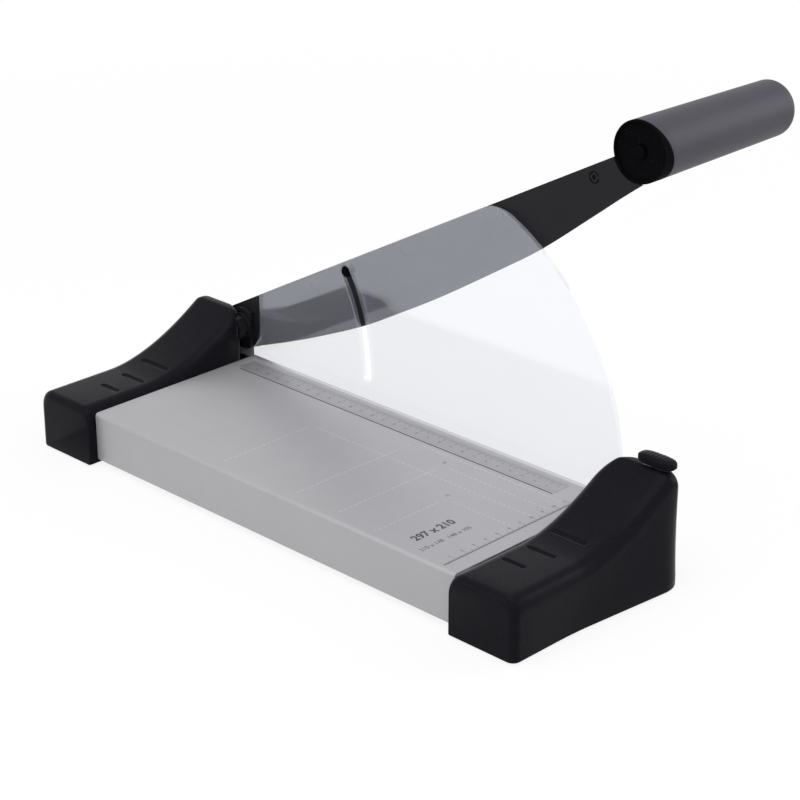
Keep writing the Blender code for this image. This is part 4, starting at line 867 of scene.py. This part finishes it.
def far_cutters(form):
    """Room in the far cap for the pivot bracket, its nut and the guard's tail."""
    plate_low, plate_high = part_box("pivot_bracket")
    nut_low, nut_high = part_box("pivot_lock_nut")
    head = plate_high.z - PIVOT.z + SEAT_GAP
    beyond = form.end + OVERRUN
    turns = arc((PIVOT.y, PIVOT.z), head, math.pi, 0, steps=40)
    inner = TABLE_HALF - OVERRUN
    start = math.sqrt(head ** 2 - (TABLE_HALF - PIVOT.y) ** 2)
    arch = [(inner, 0), (inner, PIVOT.z + start)]
    arch += [point for point in turns if point[0] > TABLE_HALF]
    arch += [(plate_high.y + SEAT_GAP, TABLE_HIGH.z), (plate_high.y + SEAT_GAP, 0)]
    pocket = (nut_high.z - nut_low.z) / math.sqrt(3) + 3 * SEAT_GAP
    tail = [corner.co for corner in frame["nodes"]["guard"].data.vertices
            if corner.co.y > TABLE_HALF]
    tail_top = max(corner.z for corner in tail)
    return [
        prism("bracket_room", "X", plate_low.x - SEAT_GAP, beyond, arch),
        bar("nut_room", pocket, nut_low.x - SEAT_GAP, beyond,
            Vector((0, PIVOT.y, PIVOT.z)), faces=64),
        block("guard_tail_room", (GUARD_LOW.x - GUARD_ROOM, inner, TABLE_HIGH.z),
              (GUARD_HIGH.x + OVERRUN, GUARD_HIGH.y + GUARD_ROOM, tail_top + GUARD_ROOM))]


def build_cap(name):
    """A hollow cap with its windows, grooves and rooms cut into it."""
    form = CapForm(name, 0.0)
    hollow = CapForm(name, sizes().cap_wall)
    shell = form.solid(name + "_shell", form.floor, sizes().cap_foot_chamfer)
    cutters = [hollow.solid(name + "_hollow", form.floor - OVERRUN, 0.0)]
    cutters += window_cutters(form, name) + groove_cutters(form, name)
    cutters += near_cutters(form) if form.side < 0 else far_cutters(form)
    carve(shell, cutters)
    finished(shell, "base", "cap_plastic", (name,))


# Guard

def guard_top(along):
    """A place on the top edge, by its distance from the pivot along the raised arm."""
    offset = sizes().guard_top_offset
    return Vector((PIVOT.y - along * math.cos(RAISED_ANGLE) + offset * math.sin(RAISED_ANGLE),
                   PIVOT.z + along * math.sin(RAISED_ANGLE) + offset * math.cos(RAISED_ANGLE)))


def guard_outline():
    """From the tail round the hub, along the top edge, and down the fan's rim to the tab."""
    size = sizes()
    centre = Vector((GUARD_LOW.y + size.guard_arc_radius, size.guard_arc_height))
    heading = Vector((-math.cos(RAISED_ANGLE), math.sin(RAISED_ANGLE)))
    offset = guard_top(0) - centre
    half = offset.dot(heading)
    reach = math.sqrt(half ** 2 - offset.length_squared + size.guard_arc_radius ** 2) - half
    corner = guard_top(reach)
    before = guard_top(reach - size.guard_corner)
    turn = math.atan2(corner.y - centre.y, corner.x - centre.x)
    turn += size.guard_corner / size.guard_arc_radius
    outer = arc(centre, size.guard_arc_radius, turn, math.pi, steps=72)
    after = Vector(outer[0])
    rounded = []
    for step in range(GUARD_CORNER_STEPS):
        share = step / GUARD_CORNER_STEPS
        point = before.lerp(corner, share).lerp(corner.lerp(after, share), share)
        rounded.append(tuple(point))
    root_centre = (PIVOT.y, PIVOT.z + size.guard_root_rise)
    tail = GUARD_HIGH.y - PIVOT.y
    root_turn = math.asin(tail / size.guard_root_radius)
    root = arc(root_centre, size.guard_root_radius, 3 * QUARTER + root_turn, math.pi, steps=40)
    left = PIVOT.y - size.guard_root_radius
    start = guard_top(0)
    top_left = (left, start.y + (start.x - left) * math.tan(RAISED_ANGLE))
    return ([(GUARD_HIGH.y, GUARD_LOW.z)] + root + [top_left] + rounded + outer
            + [(GUARD_LOW.y, size.guard_tab_bottom),
               (-TABLE_HALF - SEAT_GAP, size.guard_tab_bottom), (-TABLE_HALF, GUARD_LOW.z)])


def slot_outline():
    """The arc slot about the pivot, with round ends."""
    size = sizes()
    radius = size.slot_radius
    half = size.slot_half_width
    centre = (PIVOT.y, PIVOT.z)
    low = math.pi + SLOT_END
    high = math.pi - RAISED_ANGLE - math.asin(size.stud_offset / radius)
    bottom, top = arc(centre, radius, low, high, 1)
    return (arc(centre, radius + half, low, high, SLOT_STEPS)
            + arc(top, half, high, high - math.pi, SLOT_END_STEPS)[1:-1]
            + arc(centre, radius - half, high, low, SLOT_STEPS)
            + arc(bottom, half, low + math.pi, low, SLOT_END_STEPS)[1:-1])


def build_guard():
    """The slotted clear sheet: its bevels and a band inside them take a more opaque pale finish, a
    painted highlight along the edges.
    """
    size = sizes()
    sheet = prism("guard_sheet", "X", GUARD_LOW.x, GUARD_HIGH.x, guard_outline())
    near, far = GUARD_LOW.x - OVERRUN, GUARD_HIGH.x + OVERRUN
    carve(sheet, [prism("guide_slot", "X", near, far, slot_outline()),
                  bar("guard_screw_hole", size.guard_hole, near, far, middle_of("guard_screw"))])
    soften(sheet, size.guard_edge, segments=2)
    builder = bmesh.new()
    builder.from_mesh(sheet.data)
    broad = [face for face in builder.faces
             if abs(face.normal.x) > 0.9 and face.calc_area() > BROAD_AREA]
    # Faces outside the inset band take the painted edge highlight.
    for face in builder.faces:
        face.material_index = 1
    bmesh.ops.inset_region(builder, faces=broad, thickness=size.guard_band, use_even_offset=True)
    for face in broad:
        face.material_index = 0
    builder.to_mesh(sheet.data)
    builder.free()
    sheet.data.materials.clear()
    sheet.data.materials.append(LOOKS["guard_clear"])
    sheet.data.materials.append(LOOKS["guard_edge"])
    finished(sheet, "base", "guard_clear", ("guard",))


# Grip and boss

def slanted(name, profile):
    """Turns (radius, place, share) rows round the grip's axis, drawn back underneath by share."""
    centre = middle_of("grip")
    turns = [math.tau * index / GRIP_FACES for index in range(GRIP_FACES)]
    slant = sizes().grip_slant
    builder = bmesh.new()
    loft(builder, [[Vector((place + share * slant * math.sin(math.pi / 4 * (1 - math.sin(turn))),
                            radius * math.cos(turn), radius * math.sin(turn))) + centre
                    for turn in turns] for radius, place, share in profile])
    return object_of(name, builder)


def build_grip():
    """A smooth hollow grip, round at its free end, with a slanted mouth round the boss."""
    size = sizes()
    start, stop = GRIP_LOW.x, GRIP_HIGH.x
    mouth = BOSS_LOW.x + size.boss_lip
    lip = size.grip_lip
    end = size.grip_end_radius
    floor = stop - size.grip_wall
    collar = (BOSS_HIGH.y - BOSS_LOW.y) / 2 - size.grip_collar
    profile = [(size.grip_bore_radius, floor, 0), (size.grip_bore_radius, start, 0),
               (collar, start, 0), (collar, mouth + lip, 1)]
    profile += [(size.grip_root_radius - lip + reach, mouth + lip - place, 1)
                for reach, place in arc((0, 0), lip, math.pi * 0.8, 0, steps=9)]
    profile += [(size.grip_root_radius, start + lip, 0)]
    profile += [(radius, place, 0) for radius, place in
                arc((size.grip_tip_radius - end, stop - end), end, 0, QUARTER, steps=24)]
    finished(slanted("grip_tube", profile), "arm", "grip_plastic", ("grip",))


def arm_matrix():
    """Turns places along the arm and above the pivot into the raised arm's own."""
    return Matrix.Translation((0, PIVOT.y, PIVOT.z)) @ Matrix.Rotation(-RAISED_ANGLE, 4, "X")


def build_boss():
    """A round boss with a rim and a dished face, cut for the bar and the rod."""
    size = sizes()
    radius = (BOSS_HIGH.y - BOSS_LOW.y) / 2
    edge = size.boss_edge
    face = BOSS_LOW.x
    floor = face + size.boss_dish
    inner = radius - size.boss_rim
    profile = [(PIN_RADIUS, floor, 0), (inner - edge, floor, 0), (inner, floor - edge / 2, 0),
               (inner + edge / 4, face, 0)]
    profile += [(reach, place, 0) for reach, place in rim(radius, face, edge, steps=8)]
    seat = radius - size.grip_collar - SEAT_GAP / 3
    back = face + size.boss_lip - SEAT_GAP / 3
    profile += [(radius, back, 1), (seat, back, 1), (seat, BOSS_HIGH.x, 0)]
    boss = slanted("grip_boss_disc", profile)
    bar_low, bar_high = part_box("arm_bar")
    rod_low, rod_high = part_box("grip_rod")
    rod_radius = (rod_high.z - rod_low.z) / 2 + SEAT_GAP
    room = block("bar_room", (bar_low.x - SEAT_GAP, *BAR_ROOM_LOW),
                 (bar_high.x + SEAT_GAP, *BAR_ROOM_HIGH))
    room.data.transform(arm_matrix())
    carve(boss, [room, bar("rod_room", rod_radius, face - OVERRUN, BOSS_HIGH.x + OVERRUN,
                           middle_of("grip"))])
    finished(boss, "arm", "core_plastic", ("grip_boss",))


# Lock knob, feet and screws

def build_knob():
    """A thumb knob with rounded ends and ridges across its top."""
    low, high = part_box("lock_knob")
    middle = (low + high) / 2
    half = (high - low) / 2
    turns = [math.tau * index / KNOB_FACES for index in range(KNOB_FACES)]
    rings = []
    for step in range(KNOB_STEPS + 1):
        share = step / KNOB_STEPS * 2 - 1
        fullness = max((1 - abs(share) ** 3) ** 0.3, KNOB_END_SHARE)
        wave = 0.5 - 0.5 * math.cos(share * math.pi * KNOB_RIDGES)
        ridge = KNOB_RIDGE_SHARE * wave if abs(share) < KNOB_RIDGED_LENGTH else 0.0
        ring = []
        for turn in turns:
            out = math.copysign(abs(math.cos(turn)) ** KNOB_SQUARENESS, math.cos(turn))
            up = math.copysign(abs(math.sin(turn)) ** KNOB_SQUARENESS, math.sin(turn))
            lift = up * (1 - ridge) if up > 0 else up
            ring.append(middle + Vector((half.x * out * fullness, half.y * share,
                                         half.z * lift * fullness)))
        rings.append(ring)
    builder = bmesh.new()
    loft(builder, rings)
    finished(object_of("lock_knob_ridged", builder), "lock", "cap_plastic", ("lock_knob",))


def build_feet():
    """Round rubber feet with a soft edge and a ring groove underneath."""
    soft = sizes().foot_edge
    groove = sizes().foot_groove
    for cap in SIDES:
        for number in (1, 2):
            node = "%s_foot_%d" % (cap, number)
            low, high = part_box(node)
            centre = Vector(((low.x + high.x) / 2, (low.y + high.y) / 2, 0))
            radius = (high.x - low.x) / 2
            hollow = [radius * share for share in FOOT_HOLLOW]
            ring = [radius * share for share in FOOT_RING]
            profile = [(PIN_RADIUS, soft), (hollow[0], soft), (hollow[1], low.z),
                       (ring[0], low.z), (ring[1], low.z + groove),
                       (ring[2], low.z + groove), (ring[3], low.z)]
            profile += rim(radius, low.z, soft, steps=6)
            profile += [(radius, high.z), (PIN_RADIUS, high.z)]
            foot = turned(node + "_pad", "Z", profile, centre, faces=64, closed=True)
            finished(foot, "base", "rubber", (node,))


def hexagon(flats, centre):
    return arc(centre, flats / math.sqrt(3), 0, math.tau, 6)[:-1]


def build_screw(node, body, slot, axis, way):
    """A screw with a hexagon recess in its head."""
    low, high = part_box(node)
    middle = (low + high) / 2
    spread = {"X": high.y - low.y, "Z": high.x - low.x}[axis]
    made = new_object(node + "_head", frame["nodes"][node].data.copy())
    made.data.materials.clear()
    along = "XYZ".index(axis)
    face = (high if way > 0 else low)[along]
    centre = [middle[other] for other in range(3) if other != along]
    reach = sorted((face - way * spread * HEX_DEPTH_SHARE, face + way * OVERRUN))
    carve(made, [prism(node + "_recess", axis, *reach, hexagon(spread * HEX_SHARE, centre))])
    finished(made, body, slot, (node,))


def build_screws():
    for number in (1, 2, 3):
        build_screw("counter_blade_screw_%d" % number, "base", "bright_steel", "X", 1)
    for number in (1, 2):
        build_screw("pivot_bracket_screw_%d" % number, "base", "bright_steel", "X", 1)
        build_screw("guard_bracket_screw_%d" % number, "base", "bright_steel", "X", 1)
        for cap in SIDES:
            build_screw("%s_screw_%d" % (cap, number), "base", "bright_steel", "Z", -1)
    build_screw("guard_screw", "base", "bright_steel", "X", -1)
    for number in (1, 2, 3, 4):
        build_screw("blade_screw_%d" % number, "arm", "arm_black", "X", -1)


# Printed scales

def marks(name, rectangles, height, look):
    """Thin printed bars, each from x to x and y to y."""
    builder = bmesh.new()
    for start, end, near, far in rectangles:
        outline = [(start, near), (end, near), (end, far), (start, far)]
        loft(builder, [[Vector((x, y, z)) for x, y in outline]
                       for z in (height, height + sizes().ink_height)])
    finished(object_of(name, builder), "base", None, look=look)


def numerals(name, entries, height, look):
    """Printed figures, each with its text, place, letter height and weight."""
    builder = bmesh.new()
    for text, x, y, tall, weight in entries:
        letters = bpy.data.curves.new(name, "FONT")
        letters.body = text
        letters.size = tall * LETTER_SCALE
        letters.extrude = sizes().ink_height / 2
        letters.offset = weight
        letters.align_x = "CENTER"
        letters.resolution_u = 3
        carrier = new_object(name, letters)
        graph = bpy.context.evaluated_depsgraph_get()
        mesh = bpy.data.meshes.new_from_object(carrier.evaluated_get(graph))
        mesh.transform(Matrix.Translation((x, y, height + sizes().ink_height / 2)))
        builder.from_mesh(mesh)
        bpy.data.objects.remove(carrier, do_unlink=True)
    finished(object_of(name, builder), "base", None, look=look)


def reach_of(index, long_every, middle_every, reaches):
    """The length of one tick of a scale with long, middle and short ticks."""
    if index % long_every == 0:
        return reaches[0]
    return reaches[1] if index % middle_every == 0 else reaches[2]


def strip_ticks():
    """Ticks across the strip: a long one every 10 mm, a middle one at 5 mm, and short ones."""
    fine = sizes().fine_line
    end = STRIP_HIGH.x - STRIP_INSET
    ticks = []
    count = int((STRIP_HIGH.y - STRIP_LOW.y) / STRIP_PITCH)
    for index in range(2, count - 1):
        y = STRIP_LOW.y + index * STRIP_PITCH
        reach = reach_of(index, 4, 2, STRIP_REACHES)
        ticks.append((end - reach, end, y - fine / 2, y + fine / 2))
    return ticks


def dashes(start, room):
    """Where the dashes of a format line start, for the room that they have."""
    return [start + index * DASH_PITCH for index in range(int(room / DASH_PITCH))]


def build_print():
    """The dark scales and figures, and the pale dashed lines of the paper formats."""
    size = sizes()
    fine = size.fine_line
    bold = size.bold_line
    top = TABLE_HIGH.z
    front = TABLE_LOW.x
    zero = front + SCALE_START
    line_x = STRIP_LOW.x - STRIP_LINE_GAP
    scale_y = -TABLE_HALF + SCALE_FROM_CAP
    dark = [(line_x - bold / 2, line_x + bold / 2, STRIP_LOW.y, STRIP_HIGH.y - STRIP_LINE_END)]
    dark.append((zero, front + SCALE_END, scale_y - fine, scale_y + fine))
    for index in range(SCALE_MARKS):
        x = zero + index * SCALE_PITCH
        reach = reach_of(index, 10, 5, SCALE_REACHES)
        dark.append((x - fine / 3, x + fine / 3, scale_y, scale_y + reach))
    marks("table_scale", dark, top, "ink")
    marks("strip_scale", strip_ticks(), STRIP_HIGH.z, "ink")
    pale = []
    for reach, far in FORMATS:
        edge = front + reach
        pale += [(edge - fine, edge + fine, y, y + DASH)
                 for y in dashes(-TABLE_HALF + DASHES_FROM_CAP,
                                 far + TABLE_HALF - DASHES_FROM_CAP - DASHES_END)]
        pale += [(x, x + DASH, far - fine, far + fine)
                 for x in dashes(front + DASHES_FROM_FRONT,
                                 reach - DASHES_FROM_FRONT - DASHES_END)]
    marks("format_lines", pale, top, "pale_ink")
    figures = [(str(index), zero + index * FIGURE_PITCH, scale_y + FIGURE_GAP, TABLE_FIGURE, 0.0)
               for index in range(1, TABLE_FIGURES + 1)]
    figures += [(text, front + x, y, tall, weight) for text, x, y, tall, weight in FORMAT_FIGURES]
    numerals("table_figures", figures, top, "ink")
    figures = [(str(index), STRIP_LOW.x + FIGURE_GAP,
                STRIP_LOW.y + index * FIGURE_PITCH - STRIP_FIGURE / 2, STRIP_FIGURE, 0.0)
               for index in range(1, STRIP_FIGURES + 1)]
    numerals("strip_figures", figures, STRIP_HIGH.z, "ink")


# Carried-over parts of the frame

def paint_frame():
    """Gives the frame's parts the finish of their slot; the blade and three parts their own."""
    for part in frame["record"]["subparts"]:
        materials = frame["nodes"][part["node"]].data.materials
        materials.clear()
        materials.append(LOOKS[OWN_LOOKS.get(part["node"], part["material_slot"])])


# Stage

def seen_directly(finish):
    """One where the ray comes from the camera, a reflection or a clear sheet."""
    path = finish.node("ShaderNodeLightPath")
    outlets = path.socket.node.outputs
    total = 0.0
    for name in ("Is Camera Ray", "Is Glossy Ray", "Is Transmission Ray"):
        total = Wire(finish, outlets[name]) + total
    return finish.node("ShaderNodeClamp", None, {"Value": total})


def build_floor(stage):
    floor = block("pale_floor", (-FLOOR_HALF, -FLOOR_HALF, -FLOOR_DEPTH),
                  (FLOOR_HALF, FLOOR_HALF, 0.0))
    made = new_finish("pale_floor")
    place = made.place()
    plain = made.noise(place, 3.0)
    distance = made.node("ShaderNodeVectorMath", {"operation": "LENGTH"}, {0: place},
                         outlet="Value")
    far = made.step(distance, GLOW_START, GLOW_END)
    shade = made.blend(plain * 0.05, paint(colours().floor), (0.90, 0.90, 0.90, 1.0))
    lit = made.node("ShaderNodeBsdfDiffuse", None, {"Color": shade})
    glow = made.node("ShaderNodeEmission", None, {"Color": WHITE, "Strength": 1.0})
    share = seen_directly(made) * (stage.floor_glow + far * (1 - stage.floor_glow))
    mixed = made.node("ShaderNodeMixShader", None, {0: share, 1: lit, 2: glow})
    made.node("ShaderNodeOutputMaterial", None, {"Surface": mixed})
    floor.data.materials.append(made.owner)


def build_world(stage):
    world = bpy.data.worlds.new("soft_room")
    bpy.context.scene.world = world
    made = Finish(world)
    soft, white = (made.node("ShaderNodeBackground", None, {"Color": WHITE, "Strength": strength})
                   for strength in (stage.ambient, 1.0))
    mixed = made.node("ShaderNodeMixShader", None, {0: seen_directly(made), 1: soft, 2: white})
    made.node("ShaderNodeOutputWorld", None, {"Surface": mixed})


def stand(data, place, heading):
    """Puts a lamp or a camera at a place, looking along a heading."""
    made = new_object(data.name, data)
    made.location = place
    made.rotation_mode = "QUATERNION"
    made.rotation_quaternion = heading.to_track_quat("-Z", "Y")
    return made


def add_lamp(name, place, target, reach, power):
    data = bpy.data.lights.new(name, "AREA")
    data.shape = "RECTANGLE"
    data.size, data.size_y = reach
    data.energy = power
    stand(data, place, target - Vector(place))


def build_camera(stage):
    data = bpy.data.cameras.new("photo_camera")
    data.lens = stage.camera_lens
    data.sensor_width = SENSOR_WIDTH
    data.clip_start = CLIP_START
    data.clip_end = CLIP_END
    turn = stage.camera_azimuth
    rise = stage.camera_elevation
    back = Vector((math.sin(turn) * math.cos(rise), -math.cos(turn) * math.cos(rise),
                   math.sin(rise)))
    bpy.context.scene.camera = stand(data, stage.camera_place, -back)


# Operators

class CUTTER_OT_looks(bpy.types.Operator):
    """Make every finish and paint the carried-over parts"""
    bl_idname = "cutter.looks"
    bl_label = "Finishes"

    def execute(self, context):
        make_looks()
        paint_frame()
        return {"FINISHED"}


class CUTTER_OT_caps(bpy.types.Operator):
    """Build both moulded end caps"""
    bl_idname = "cutter.caps"
    bl_label = "End caps"

    def execute(self, context):
        for name in SIDES:
            build_cap(name)
        return {"FINISHED"}


class CUTTER_OT_guard(bpy.types.Operator):
    """Build the clear fan guard"""
    bl_idname = "cutter.guard"
    bl_label = "Guard"

    def execute(self, context):
        build_guard()
        return {"FINISHED"}


class CUTTER_OT_grip(bpy.types.Operator):
    """Build the grip and its boss"""
    bl_idname = "cutter.grip"
    bl_label = "Grip"

    def execute(self, context):
        build_grip()
        build_boss()
        return {"FINISHED"}


class CUTTER_OT_small_parts(bpy.types.Operator):
    """Build the lock knob, the feet and the screws"""
    bl_idname = "cutter.small_parts"
    bl_label = "Knob, feet and screws"

    def execute(self, context):
        build_knob()
        build_feet()
        build_screws()
        return {"FINISHED"}


class CUTTER_OT_print(bpy.types.Operator):
    """Lay the printed scales and figures on the table"""
    bl_idname = "cutter.print"
    bl_label = "Printed scales"

    def execute(self, context):
        build_print()
        return {"FINISHED"}


class CUTTER_OT_stage(bpy.types.Operator):
    """Build the floor, the lamps, the world and the camera"""
    bl_idname = "cutter.stage"
    bl_label = "Stage"

    def execute(self, context):
        stage = context.scene.cutter_stage
        build_floor(stage)
        build_world(stage)
        for name, place, reach, power in LAMPS:
            add_lamp(name, place, (CAD_LOW + CAD_HIGH) / 2, reach, getattr(stage, power))
        build_camera(stage)
        context.scene.view_settings.view_transform = "Standard"
        return {"FINISHED"}


OPERATORS = (CUTTER_OT_looks, CUTTER_OT_caps, CUTTER_OT_guard, CUTTER_OT_grip,
             CUTTER_OT_small_parts, CUTTER_OT_print, CUTTER_OT_stage)


class CUTTER_PT_sidebar(bpy.types.Panel):
    """Lists the pieces of the cutter"""
    bl_label = "Paper Cutter"
    bl_idname = "CUTTER_PT_sidebar"
    bl_space_type = "VIEW_3D"
    bl_region_type = "UI"
    bl_category = "Cutter"

    def draw(self, context):
        for operator in OPERATORS:
            self.layout.operator(operator.bl_idname)


GROUPS = {"cutter_sizes": CutterSizes, "cutter_colours": CutterColours,
          "cutter_stage": StageSettings}
CLASSES = (*GROUPS.values(), *OPERATORS, CUTTER_PT_sidebar)


def register():
    for made in CLASSES:
        bpy.utils.register_class(made)
    for name, group in GROUPS.items():
        setattr(bpy.types.Scene, name, bpy.props.PointerProperty(type=group))


def unregister():
    for name in GROUPS:
        delattr(bpy.types.Scene, name)
    for made in reversed(CLASSES):
        bpy.utils.unregister_class(made)


def main():
    register()
    bpy.ops.cutter.looks()
    bpy.ops.cutter.caps()
    bpy.ops.cutter.guard()
    bpy.ops.cutter.grip()
    bpy.ops.cutter.small_parts()
    bpy.ops.cutter.print()
    bpy.ops.cutter.stage()


if __name__ == "__main__":
    main()
